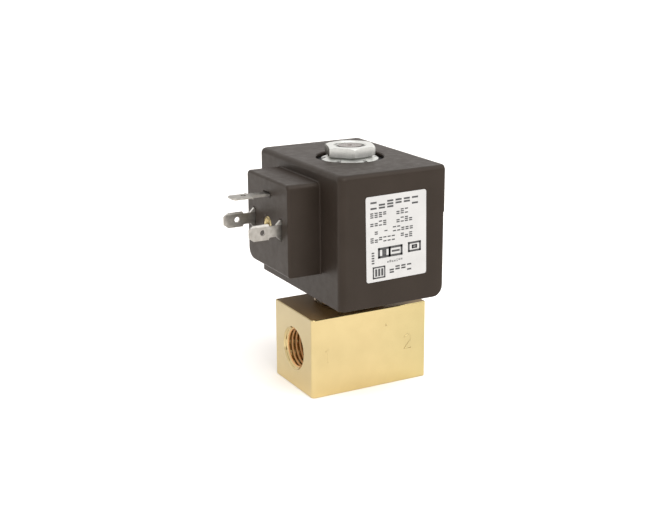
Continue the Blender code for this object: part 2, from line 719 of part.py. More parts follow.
def terminal_outline(sizes):
    """Half the outline of a flat pin, from its inner end to its tip, as (x, half width) points."""
    tip_x = sizes["tip_x"]
    foot_x = BOSS_FRONT_X - PIN_STEP
    neck_x = foot_x - PIN_FLARE
    taper_x = tip_x + PIN_TAPER
    blade_x = taper_x + PIN_BLADE_LENGTH
    return [
        (PIN_INNER_X, sizes["foot"]),
        (foot_x, sizes["foot"]),
        (neck_x, PIN_NECK_HALF),
        (blade_x + PIN_STEP, PIN_NECK_HALF),
        (blade_x, sizes["blade"]),
        (taper_x, sizes["blade"]),
        (tip_x + PIN_STEP, sizes["tip"] + PIN_STEP),
        (tip_x, sizes["tip"]),
    ]


def flat_pin(name, sizes, place):
    """A pin cut from sheet, with its cable hole, laid in the XY plane and then put in place."""
    upper = terminal_outline(sizes)
    outline = upper + [(x, -half) for x, half in reversed(upper)]
    hole_x = sizes["tip_x"] + PIN_HOLE_FROM_TIP
    hole = []
    for step in range(PIN_HOLE_SIDES):
        angle = step * math.tau / PIN_HOLE_SIDES
        hole.append((hole_x + math.cos(angle) * PIN_HOLE_RADIUS, math.sin(angle) * PIN_HOLE_RADIUS))
    curve = bpy.data.curves.new(name, "CURVE")
    curve.dimensions = "2D"
    curve.fill_mode = "BOTH"
    curve.extrude = PIN_THICKNESS / 2
    for loop in (outline, hole):
        spline = curve.splines.new("POLY")
        spline.points.add(len(loop) - 1)
        spline.use_cyclic_u = True
        for point, (x, y) in zip(spline.points, loop):
            point.co = (x, y, 0, 1)
    pin = add_object(name, curve, TINNED)
    pin.matrix_world = place
    return pin


def make_terminals():
    upright = Matrix.Rotation(math.radians(90), 4, "X")
    for index, y in enumerate((-LINE_PIN_SPREAD, LINE_PIN_SPREAD)):
        place = Matrix.Translation((0, y, LINE_PIN_Z)) @ upright
        flat_pin(f"line_terminal_{index + 1}", LINE_PIN, place)
    flat_pin("earth_terminal", EARTH_PIN, Matrix.Translation((0, 0, EARTH_PIN_Z)))


def make_wires():
    """The winding's two ends go to the line terminals, and the yoke is wired to the earth terminal."""
    pin_face = LINE_PIN_SPREAD - PIN_THICKNESS / 2 - WIRE_RADIUS - REST_GAP
    for index, side in enumerate((-1, 1)):
        corners = [
            Vector((-14.2 * MM, side * 5.0 * MM, 60.0 * MM)),
            Vector((-15.2 * MM, side * 5.6 * MM, 58.0 * MM)),
            Vector((-16.6 * MM, side * 7.0 * MM, 55.2 * MM)),
            Vector((-18.2 * MM, side * pin_face, LINE_PIN_Z)),
        ]
        cable(f"lead_wire_{index + 1}", smooth_route(corners), WIRE_RADIUS, WIRE_ENAMEL)
    corners = [
        Vector((-17.6 * MM, 0, EARTH_PIN_Z + PIN_THICKNESS / 2 + WIRE_RADIUS + REST_GAP)),
        Vector((-16.4 * MM, 0, 63.5 * MM)),
        Vector((-15.7 * MM, 0, 64.6 * MM)),
        Vector((-15.6 * MM, 0, 66.2 * MM)),
        Vector((-14.7 * MM, 0, 67.6 * MM)),
        Vector((-YOKE_LENGTH / 2 - 0.4 * MM, 0, 68.0 * MM)),
    ]
    cable("earth_strap", smooth_route(corners), WIRE_RADIUS, EARTH_GREEN)


def make_connector_screw_insert():
    """A knurled brass bush for the connector's screw, turned on Z and laid along X."""
    third = INSERT_LENGTH / 3
    insert = turned(
        "connector_screw_insert",
        [
            (INSERT_RADIUS - INSERT_GROOVE, INSERT_LENGTH),
            (INSERT_RADIUS, INSERT_LENGTH - INSERT_GROOVE),
            (INSERT_RADIUS, 2 * third),
            (INSERT_RADIUS - INSERT_GROOVE, 2 * third - INSERT_GROOVE),
            (INSERT_RADIUS - INSERT_GROOVE, third + INSERT_GROOVE),
            (INSERT_RADIUS, third),
            (INSERT_RADIUS, 0),
            (INSERT_HOLE_RADIUS + INSERT_GROOVE, 0),
            (INSERT_HOLE_RADIUS, INSERT_GROOVE),
            (INSERT_HOLE_RADIUS, INSERT_LENGTH),
        ],
        BRASS,
        sides=SMALL_ROUND,
        closed=True,
    )
    insert.matrix_world = Matrix.Translation((BOSS_FRONT_X, 0, INSERT_Z)) @ ALONG_X


def make_rating_label():
    """A rounded plate, lofted through its thickness along Y and turned a little in its plane."""
    half_width, half_height = LABEL_WIDTH / 2, LABEL_HEIGHT / 2
    outline = rounded_outline((-half_width, half_width), (-half_height, half_height), (LABEL_CORNER,) * 4)
    half_thickness = LABEL_THICKNESS / 2
    rings = [[Vector((x, y, z)) for x, z in outline] for y in (half_thickness, -half_thickness)]
    label = loft("rating_label", rings, LABEL_FILM)
    middle = Vector((LABEL_MIDDLE_X, HOUSING_Y[0] - LABEL_GAP - half_thickness, LABEL_MIDDLE_Z))
    label.matrix_world = Matrix.Translation(middle) @ Matrix.Rotation(LABEL_TILT, 4, "Y")


def make_lock_washer():
    """A dished washer with teeth round its rim. The rim rests on the yoke."""
    inner, outer = WASHER_RADII
    rim_bottom = WASHER_RIM_Z
    washer = turned(
        "lock_washer",
        [
            (inner, rim_bottom + WASHER_DISH + WASHER_THICKNESS),
            (outer, rim_bottom + WASHER_THICKNESS),
            (outer, rim_bottom),
            (inner, rim_bottom + WASHER_DISH),
        ],
        ZINC,
        closed=True,
    )
    for index in range(WASHER_TEETH):
        notch = block(
            f"washer_notch_cutter_{index + 1}",
            (outer - WASHER_NOTCH_DEPTH, outer + PAST),
            (-WASHER_NOTCH_WIDTH / 2, WASHER_NOTCH_WIDTH / 2),
            (rim_bottom - PAST, rim_bottom + WASHER_DISH + WASHER_THICKNESS + PAST),
        )
        angle = WASHER_TURNED_BY + (index + 0.5) * math.tau / WASHER_TEETH
        notch.matrix_world = Matrix.Rotation(angle, 4, "Z") @ Matrix.Translation(notch.location)
        combine(washer, notch)


def make_coil_nut():
    """A thin hexagon nut. Its origin is on its axis, and its corners are chamfered top and bottom."""
    bottom, top = Vector((0, 0, NUT_BOTTOM_Z)), Vector((0, 0, NUT_BOTTOM_Z + NUT_HEIGHT))
    corner_radius = NUT_FLATS / 2 / math.cos(math.radians(30))
    nut = rod("coil_nut", corner_radius, bottom, top, ZINC, sides=6, turn=NUT_TURNED_BY)
    chamfer_radius = NUT_FACE_RADIUS + NUT_CHAMFER / math.tan(NUT_CHAMFER_SLOPE)
    lens = turned(
        "nut_chamfer_form",
        [
            (0, top.z),
            (NUT_FACE_RADIUS, top.z),
            (chamfer_radius, top.z - NUT_CHAMFER),
            (chamfer_radius, bottom.z + NUT_CHAMFER),
            (NUT_FACE_RADIUS, bottom.z),
            (0, bottom.z),
        ],
    )
    combine(nut, lens, "INTERSECT")
    above = Vector((0, 0, PAST))
    combine(nut, rod("nut_hole_cutter", NUT_HOLE_RADIUS, bottom - above, top + above))


def main():
    clear_scene()
    make_valve_body()
    make_tube_gland()
    make_guide_tube()
    make_body_o_ring()
    make_plunger()
    make_seal_disc()
    make_plunger_spring()
    make_fixed_core()
    make_shading_ring()
    make_coil_housing()
    make_coil_yoke()
    make_coil_bobbin()
    make_terminals()
    make_wires()
    make_connector_screw_insert()
    make_rating_label()
    make_lock_washer()
    make_coil_nut()


main()
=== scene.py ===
"""Looks of the direct-acting solenoid valve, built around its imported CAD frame.

Every length is in metres and every place is in the row frame: +Z up along the plunger, the inlet port at -X
and the rating label at -Y. Each piece is modelled where it is at rest, with its origin at the frame's origin,
so the materials' object coordinates are the row frame's.
"""

import json
import random
from math import asin, ceil, cos, radians, sin, sqrt, tan, tau

import bmesh
import bpy
from mathutils import Matrix, Vector

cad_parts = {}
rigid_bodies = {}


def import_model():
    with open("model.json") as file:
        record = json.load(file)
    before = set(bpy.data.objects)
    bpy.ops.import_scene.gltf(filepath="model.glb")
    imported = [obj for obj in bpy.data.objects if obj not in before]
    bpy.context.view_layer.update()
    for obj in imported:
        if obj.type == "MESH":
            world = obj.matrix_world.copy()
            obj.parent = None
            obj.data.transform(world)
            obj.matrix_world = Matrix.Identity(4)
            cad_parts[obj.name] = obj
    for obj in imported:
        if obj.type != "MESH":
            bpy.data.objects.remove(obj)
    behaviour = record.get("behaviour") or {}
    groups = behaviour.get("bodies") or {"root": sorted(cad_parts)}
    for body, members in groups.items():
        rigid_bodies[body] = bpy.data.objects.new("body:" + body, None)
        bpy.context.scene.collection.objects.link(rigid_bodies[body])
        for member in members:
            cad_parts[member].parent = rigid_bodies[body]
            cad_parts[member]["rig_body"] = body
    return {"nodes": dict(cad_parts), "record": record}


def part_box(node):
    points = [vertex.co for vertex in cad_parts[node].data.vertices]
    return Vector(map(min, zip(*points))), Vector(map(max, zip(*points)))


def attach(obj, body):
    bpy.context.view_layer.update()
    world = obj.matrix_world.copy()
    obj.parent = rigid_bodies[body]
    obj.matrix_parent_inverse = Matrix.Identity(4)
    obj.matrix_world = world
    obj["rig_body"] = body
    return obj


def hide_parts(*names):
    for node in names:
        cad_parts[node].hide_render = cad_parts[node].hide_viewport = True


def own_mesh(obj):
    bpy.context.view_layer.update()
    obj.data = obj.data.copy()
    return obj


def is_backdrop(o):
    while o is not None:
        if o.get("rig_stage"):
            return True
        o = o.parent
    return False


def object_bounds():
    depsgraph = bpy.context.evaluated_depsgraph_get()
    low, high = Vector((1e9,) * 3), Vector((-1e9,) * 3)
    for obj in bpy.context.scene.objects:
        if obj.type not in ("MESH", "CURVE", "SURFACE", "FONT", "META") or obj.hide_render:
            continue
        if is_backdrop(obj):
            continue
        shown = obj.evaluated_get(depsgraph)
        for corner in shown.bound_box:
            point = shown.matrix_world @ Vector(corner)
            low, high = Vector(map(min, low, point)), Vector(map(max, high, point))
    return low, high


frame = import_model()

cad_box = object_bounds()
MM = 0.001
PAST = 1.0 * MM  # how far a cutter runs past the face that it cuts
FINE_ROUND = 96  # sides of a visible round
ROUND = 48  # sides of a hidden or small round
PIN_HOLE_SIDES = 40
THREAD_STEPS = 12  # rings in a thread's turn
SMALL_THREAD_SIDES = 32  # of the M3 thread
SMALL_THREAD_STEPS = 6
SHARP_EDGE = radians(32)
SMALLEST_CORNER = 0.02 * MM
SAME_POINT = 0.0001 * MM
SAME_HEIGHT_DIGITS = 7  # decimals of a metre that tell two rings apart
UP = Vector((0, 0, 1))
NODES = frame["nodes"]
SLOT_OF = {part["node"]: part["material_slot"] for part in frame["record"]["subparts"]}
WAVE_REPEAT = tau / 20  # the pitch of a wave texture whose scale is 1


def mm(*lengths):
    return tuple(length * MM for length in lengths)


# Valve body
BODY_SIZE = Vector((40, 25, 25)) * MM
BODY_EDGE = 0.4 * MM
BODY_CORNERS = mm(0.5, 0.5, 0.5, 1.2)  # upright edges, from +X-Y anticlockwise
BODY_TOP_MASK = mm(24.90, 24.99)
INLET_SIDE_MASK = mm(-19.95, -19.8)
PORT_HEIGHT = 12.5 * MM
PORT_CORE_RADIUS = 11.445 / 2 * MM
PORT_THREAD_RADIUS = 13.157 / 2 * MM
PORT_PITCH = 1.337 * MM
PORT_MOUTH_RADIUS = 6.85 * MM
PORT_MOUTH_DEPTH = 1.1 * MM
PORT_DEPTH = 10.2 * MM
PORT_THREAD_END = PORT_DEPTH - 1.5 * PORT_PITCH
PORT_BORE_GAP = 0.02 * MM  # the smooth bore is this much wider than the thread's core
PORT_MASK = mm(5.8, 6.3)
GLAND_BORE_RADIUS = 9.0 * MM
RING_LEDGE_Z = 18.6 * MM
CHAMBER_RADIUS = 6.9 * MM
CHAMBER_FLOOR_Z = 16.0 * MM
SEAT_TOP_Z = 17.6 * MM
SEAT_FOOT_RADIUS = 2.6 * MM
SEAT_TOP_RADIUS = 2.2 * MM
ORIFICE_RADIUS = 1.5 * MM
OUTLET_DRILLING_RADIUS = 2.0 * MM
INLET_DRILLING_RADIUS = 1.6 * MM
INLET_DRILLING_ENDS = (Vector((-11.5, 0, 12.0)) * MM, Vector((-4.6, 0, 17.4)) * MM)
STAMP_RADIUS = 0.26 * MM  # of the round tool that leaves a stamped line
STAMP_SUNK = 0.1 * MM
STAMP_HEIGHT = 4.6 * MM
PORT_1_MARK = Vector((-14.6, 0, 13.1)) * MM
PORT_2_MARK = Vector((13.5, 0, 12.8)) * MM
FIGURE_1_FLAG = [(-0.18, 0.26), (0.02, 0.5)]  # figures are in shares of their height
FIGURE_1_STEM = [(0.0, 0.5), (0.0, -0.5)]
FIGURE_2_BOW = (0.24, 0.26)  # height of the bow's centre, and its radius
FIGURE_2_BOW_DEGREES = range(165, -40, -15)
FIGURE_2_FOOT = [(-0.26, -0.5), (0.28, -0.5)]
PUNCH_DOT = Vector((5.66, 0, 19.4)) * MM
PUNCH_RADIUS = 0.36 * MM
PUNCH_DEPTH = 0.4 * MM

# Gland
GLAND_SPIGOT_RADIUS = 8.8 * MM
GLAND_SPIGOT_Z = 21.6 * MM
GLAND_COLLAR_RADIUS = 11.3 * MM
GLAND_COLLAR_Z = mm(25.2, 26.0)
GLAND_CHAMFER = 0.3 * MM
GLAND_HEX_FLATS = 17.0 * MM
GLAND_TOP_Z = 30.6 * MM
GLAND_BORE = 7.15 * MM

# Fixed core, its stud, the nut and the washer
CORE_RADIUS = 6.15 * MM
CORE_Z = mm(48.0, 68.3)
SHADING_GROOVE_RADII = mm(4.0, 5.2)
SHADING_GROOVE_DEPTH = 1.7 * MM
STUD_PITCH = 1.0 * MM
STUD_RADII = mm(4.40, 4.93)  # bottom and crest of the thread
STUD_TOP_Z = 74.05 * MM
STUD_END_RADIUS = 3.6 * MM
STUD_CHAMFER_SLOPE = radians(45)
STUD_DIMPLE = 0.75 * MM
NUT_FLATS = 14.0 * MM
NUT_Z = mm(71.3, 74.2)
NUT_THREAD_RADII = mm(4.52, 5.05)
NUT_MOUTH_RADIUS = 5.05 * MM
NUT_FACE_RADIUS = 7.3 * MM
NUT_CHAMFER = 0.6 * MM
NUT_CHAMFER_SLOPE = radians(27)
NUT_TURNED_BY = radians(11.57)
NUT_EDGE = 0.07 * MM
NUT_THREAD_MASK = mm(4.54, 4.62)
# the side of the nut that takes painted shade
NUT_SHADED_SIDE = NUT_TURNED_BY + radians(150)
NUT_SIDE_MASK = mm(6.93, 6.99)
NUT_HEIGHT_MASK = mm(71.2, 71.3)
STUD_THREAD_MASK = mm(3.55, 3.65)
STUD_DIMPLE_MASK = mm(0.5, 0.85)
WASHER_RADII = mm(5.3, 7.25, 8.65)  # hole, bottom of the notches, rim
WASHER_RIM_Z = 69.5 * MM
WASHER_THICKNESS = 0.6 * MM
WASHER_DISH = 1.05 * MM
WASHER_TEETH = 6
WASHER_TURNED_BY = radians(6)
WASHER_NOTCH_WIDTH = 1.3 * MM
WASHER_TWIST = 0.1 * MM
WASHER_STEPS = 8  # rings in half a tooth
WASHER_NOTCH_SHARES = (-0.999, 0.0, 0.999)  # rings in a notch, just clear of the teeth's ends

# Coil housing
HOUSING_X = mm(-17.65, 17.65)
HOUSING_Y = mm(-26.0, 26.0)
HOUSING_Z = mm(30.9, 70.7)
HOUSING_CORNERS = mm(0.9, 0.9, 0.9, 2.0)  # +X-Y, +X+Y, -X+Y, -X-Y
HOUSING_TOP_EDGES = mm(1.6, 0.4, 1.6, 0.4)  # at -X, +X, -Y, +Y
HOUSING_BOTTOM_EDGES = mm(0.35, 3.2, 0.35, 0.35)  # at -X, +X, -Y, +Y
HOUSING_STEP_Z = 56.6 * MM  # the +X side stands out a little above this
HOUSING_STEP = 0.25 * MM
BOSS_FRONT_X = -28.0 * MM
BOSS_Y = mm(-14.0, 14.0)
BOSS_Z = mm(39.5, 67.0)
BOSS_CORNERS = mm(3.5, 1.5, 1.5, 0.6)  # +Y low, +Y high, -Y high, -Y low
BOSS_FRONT_EDGE = 0.8 * MM
BOSS_ROOT_FILLET = 0.3 * MM
BOSS_ROOT = 1.5 * MM
HOUSING_TOP_MASK = mm(70.4, 70.65)
RECESS_RADIUS = 10.35 * MM
RECESS_FLOOR_Z = 69.4 * MM
RECESS_CHAMFER = 0.3 * MM
HOUSING_BORE_RADIUS = 9.0 * MM
YOKE_ROOM = (mm(-12.8, 12.8), mm(-24.5, 24.5), mm(33.1, 69.7))
YOKE_FLOOR_Z = 33.4 * MM
WINDING_ROOM_RADIUS = 16.0 * MM
WINDING_ROOM_Z = mm(36.4, 66.4)
WIRING_ROOM = (mm(-20.0, -12.0), mm(-11.5, 11.5), mm(47.0, 64.5))
STRAP_ROOM = (mm(-16.3, -12.0), mm(-3.0, 3.0), mm(64.0, 69.0))

# Connector
PIN_HALF_THICKNESS = 0.4 * MM
PIN_SLOT_GAP = 0.12 * MM
PIN_SLOT_CHAMFER = 0.25 * MM
LINE_PIN_SPREAD = 9.0 * MM
LINE_PIN_Z = 53.1 * MM
EARTH_PIN_Z = 62.1 * MM
LINE_PIN_MASK = (EARTH_PIN_Z - 2 * MM, EARTH_PIN_Z - 1 * MM)
PIN_INNER_X = -17.6 * MM
LINE_PIN = {"tip_x": -38.2 * MM, "foot": 3.0 * MM, "blade": 2.35 * MM, "tip": 1.2 * MM}  # half widths
EARTH_PIN = {"tip_x": -39.8 * MM, "foot": 2.2 * MM, "blade": 2.9 * MM, "tip": 1.6 * MM}
PIN_NECK_HALF = 1.65 * MM
PIN_FLARE = 1.35 * MM
PIN_BLADE_LENGTH = 4.6 * MM
PIN_STEP = 0.3 * MM
PIN_TAPER = 1.5 * MM
PIN_HOLE_RADIUS = 0.85 * MM
PIN_HOLE_FROM_TIP = 4.3 * MM
PIN_EDGE = 0.1 * MM
PIN_COIN_WIDTH = 0.9 * MM
PIN_COIN_HALF = 0.2 * MM
PIN_COINED = 2.6 * MM  # half the length of a coined edge
PIN_HIGHLIGHT_MASK = mm(54.75, 54.95)  # above this the line pins' upper edges take a painted highlight
INSERT_Z = 53.0 * MM
INSERT_PLACE = Matrix.Translation((BOSS_FRONT_X, 0, INSERT_Z)) @ Matrix.Rotation(radians(90), 4, "Y")
INSERT_RADIUS = 2.35 * MM
INSERT_LENGTH = 5.6 * MM
INSERT_GROOVE = 0.35 * MM
INSERT_LIP = 0.2 * MM
INSERT_THREAD_RADII = mm(1.25, 1.5)
INSERT_PITCH = 0.5 * MM
INSERT_POCKET_GAP = 0.15 * MM
INSERT_POCKET_CHAMFER = 0.3 * MM
SCREW_HOLE_RADIUS = 1.6 * MM

# Label
LABEL_SIZE = mm(20.25, 25.4)
LABEL_MIDDLE = Vector((0.8 * MM, 0, 51.5 * MM))
LABEL_TILT = radians(-1)
LABEL_Y = mm(-26.02, -26.13)
LABEL_CORNER = 0.7 * MM
PRINT_Y = -26.142 * MM
LABEL_PLACE = Matrix.Translation(LABEL_MIDDLE) @ Matrix.Rotation(LABEL_TILT, 4, "Y")
GREEK_STROKE = 0.24  # share of a character's height
GREEK_WIDTH = 0.74  # share of the pitch
PRINT_SEED = 4

# The print's layout, in shares of the label from its lower left corner
PRINT_WORDS = [  # left, low, characters, pitch, height
    (0.075, 0.850, 6, 0.137, 0.088),
    (0.070, 0.752, 4, 0.070, 0.060),
    (0.500, 0.757, 3, 0.070, 0.060),
    (0.070, 0.654, 4, 0.070, 0.060),
    (0.500, 0.660, 4, 0.070, 0.060),
    (0.140, 0.556, 1, 0.070, 0.060),
    (0.440, 0.562, 5, 0.070, 0.060),
    (0.070, 0.462, 6, 0.070, 0.060),
    (0.570, 0.470, 3, 0.070, 0.060),
    (0.340, 0.205, 7, 0.038, 0.026),
    (0.380, 0.075, 4, 0.098, 0.078),
]
PRINT_FRAMES = [  # left, low, right, high, line: a two-position valve, a coil and a plain box
    (0.19, 0.270, 0.40, 0.395, 0.034),
    (0.366, 0.270, 0.60, 0.395, 0.034),
    (0.69, 0.285, 0.91, 0.405, 0.030),
    (0.755, 0.322, 0.845, 0.368, 0.026),
    (0.10, 0.035, 0.31, 0.178, 0.022),
]
PRINT_BARS = [  # left, low, right, high: a dash, the symbols' bars and a row of ticks
    (0.30, 0.580, 0.35, 0.594),
    (0.26, 0.295, 0.33, 0.37),
    (0.42, 0.322, 0.55, 0.345),
    *((left, 0.062, left + 0.035, 0.150) for left in (0.14, 0.19, 0.24)),
    *((0.085, 0.215 + 0.03 * tick, 0.13, 0.232 + 0.03 * tick) for tick in range(5)),
]

# Spring
SPRING_RADIUS = 2.3 * MM
SPRING_WIRE_RADIUS = 0.35 * MM
SPRING_TURNS = 7.5
SPRING_STEPS = 40  # points in one turn
SPRING_SIDES = 12

# Stage
FLOOR_HALF = 4.0
TENT_BRIGHTNESS = 1.25
TENT_LOW = (0.74, 0.71, 0.68, 1)
WHITE = (1, 1, 1, 1)
SOFTBOX_PLACE = Vector((0.2, -1.7, 2.6))
SOFTBOX_SIZE = 3.0
SOFTBOX_WATTS = 80.0
CAMERA_AZIMUTH = radians(28.459)
CAMERA_ELEVATION = radians(16.170)
CAMERA_ROLL = radians(-0.301)
CAMERA_PLACE = Vector((-174.567, -311.957, 140.610)) * MM
CAMERA_LENS = 64.53  # millimetres, as the sensor's width is
CAMERA_SENSOR = 36.0
CAMERA_CLIP = (0.01, 50.0)


# Mesh tools


def put_in_scene(name, data):
    made = bpy.data.objects.new(name, data)
    bpy.context.scene.collection.objects.link(made)
    return made


def new_object(name, bm):
    mesh = bpy.data.meshes.new(name)
    bm.to_mesh(mesh)
    bm.free()
    return put_in_scene(name, mesh)


def bake(obj):
    """Applies the modifiers of obj."""
    evaluated = obj.evaluated_get(bpy.context.evaluated_depsgraph_get())
    mesh = bpy.data.meshes.new_from_object(evaluated)
    obj.modifiers.clear()
    obj.data = mesh


def combine(target, operation, *tools):
    """Applies each tool to target with a Boolean, and removes the tool."""
    for tool in tools:
        step = target.modifiers.new("boolean", "BOOLEAN")
        step.operation = operation
        step.object = tool
        step.solver = "EXACT"
        bpy.context.view_layer.update()
        bake(target)
        bpy.data.objects.remove(tool)
    return target


def cut(target, *tools):
    return combine(target, "DIFFERENCE", *tools)


def soften(obj, width, segments=3, angle=radians(30)):
    bevel = obj.modifiers.new("soften", "BEVEL")
    bevel.width = width
    bevel.segments = segments
    bevel.limit_method = "ANGLE"
    bevel.angle_limit = angle
    bpy.context.view_layer.update()
    bake(obj)


def loft(name, rings, loop=False):
    """A solid through closed rings. With loop the last ring meets the first, otherwise both are filled."""
    bm = bmesh.new()
    rows = [[bm.verts.new(point) for point in ring] for ring in rings]
    pairs = list(zip(rows, rows[1:]))
    if loop:
        pairs.append((rows[-1], rows[0]))
    else:
        bm.faces.new(reversed(rows[0]))
        bm.faces.new(rows[-1])
    for near, far in pairs:
        for index, corner in enumerate(near):
            after = (index + 1) % len(near)
            bm.faces.new((corner, near[after], far[after], far[index]))
    bmesh.ops.remove_doubles(bm, verts=bm.verts, dist=SAME_POINT)
    bmesh.ops.recalc_face_normals(bm, faces=bm.faces)
    return new_object(name, bm)


def place(obj, matrix):
    """Moves the mesh of obj and leaves its origin where it is."""
    obj.data.transform(matrix)
    return obj


def aimed(start, direction):
    """A matrix that takes the origin to start and +Z to direction."""
    return Matrix.Translation(start) @ direction.to_track_quat("Z", "Y").to_matrix().to_4x4()


def polar(angle, radius, height=0.0):
    return Vector((cos(angle) * radius, sin(angle) * radius, height))


def turned(name, profile, sides=FINE_ROUND):
    """A solid of revolution about Z. The profile's (radius, height) points go once round the section."""
    rings = []
    for side in range(sides):
        turn = Matrix.Rotation(side / sides * tau, 3, "Z")
        rings.append([turn @ Vector((radius, 0, height)) for radius, height in profile])
    return loft(name, rings, loop=True)


def cylinder(name, radius, start, end, sides=ROUND, end_radius=None):
    """A cylinder or cone from start to end."""
    along = end - start
    end_radius = radius if end_radius is None else end_radius
    made = turned(name, [(0, 0), (radius, 0), (end_radius, along.length), (0, along.length)], sides)
    return place(made, aimed(start, along))


def upright(name, radius, bottom, top, sides=ROUND, end_radius=None):
    """A cylinder or cone on the Z axis."""
    return cylinder(name, radius, UP * bottom, UP * top, sides, end_radius)


def block(name, x_range, y_range, z_range):
    low, high = Vector((x_range[0], y_range[0], z_range[0])), Vector((x_range[1], y_range[1], z_range[1]))
    bm = bmesh.new()
    bmesh.ops.create_cube(bm, size=1.0)
    bmesh.ops.scale(bm, vec=high - low, verts=bm.verts)
    bmesh.ops.translate(bm, vec=(low + high) / 2, verts=bm.verts)
    return new_object(name, bm)


def hexagon(name, flats, bottom, top, turn=0.0):
    corner = flats / 2 / cos(radians(30))
    rings = []
    for height in (bottom, top):
        rings.append([polar(turn + side * tau / 6, corner, height) for side in range(6)])
    return loft(name, rings)


def threaded_rod(name, radii, pitch, bottom, top, sides=FINE_ROUND, steps=THREAD_STEPS):
    """A right-handed screw along Z. Its phase is the same wherever it starts, so a screw fits its nut."""
    root, crest = radii
    rings = []
    count = ceil((top - bottom) / pitch * steps)
    for row in range(count + 1):
        height = bottom + (top - bottom) * row / count
        ring = []
        for side in range(sides):
            angle = side / sides * tau
            phase = height / pitch * tau - angle
            radius = root + (crest - root) * (0.5 - 0.5 * cos(phase))
            ring.append(polar(angle, radius, height))
        rings.append(ring)
    return loft(name, rings)


def tube(name, points, radius, across, sides=SPRING_SIDES):
    """A round bar along points. across is a direction that the points never run along."""
    rings = []
    for index, point in enumerate(points):
        before, after = points[max(index - 1, 0)], points[min(index + 1, len(points) - 1)]
        along = (after - before).normalized()
        first = along.cross(across).normalized()
        second = first.cross(along)
        angles = [side / sides * tau for side in range(sides)]
        rings.append([point + (first * cos(a) + second * sin(a)) * radius for a in angles])
    return loft(name, rings)


def rounded_outline(a_range, b_range, corners, grow=0.0, steps=8):
    """A rounded rectangle, grown by grow, as (a, b) points anticlockwise from high a and low b."""
    outline = []
    signs = [(1, -1), (1, 1), (-1, 1), (-1, -1)]
    for (a_sign, b_sign), corner, first in zip(signs, corners, (-90, 0, 90, 180)):
        radius = max(corner + grow, SMALLEST_CORNER)
        a = a_range[a_sign > 0] + a_sign * (grow - radius)
        b = b_range[b_sign > 0] + b_sign * (grow - radius)
        for step in range(steps + 1):
            angle = radians(first + 90 * step / steps)
            outline.append((a + cos(angle) * radius, b + sin(angle) * radius))
    return outline


def quarter_round(radius, steps=6):
    """(distance from the face, inset) pairs for an edge rounded to radius, from the face down."""
    angles = [radians(90 * step / steps) for step in range(steps + 1)]
    return [(radius * (1 - cos(angle)), radius * (1 - sin(angle))) for angle in angles]


def inset_at(distance, radius):
    """How far an edge rounded to radius draws its side in, at that distance from the face."""
    short = min(max(radius - distance, 0.0), radius)
    return radius - sqrt(radius**2 - short**2)


# Materials


def set_inputs(shader, **values):
    """Sets sockets by name, with underscores for spaces."""
    for name, value in values.items():
        shader.inputs[name.replace("_", " ")].default_value = value


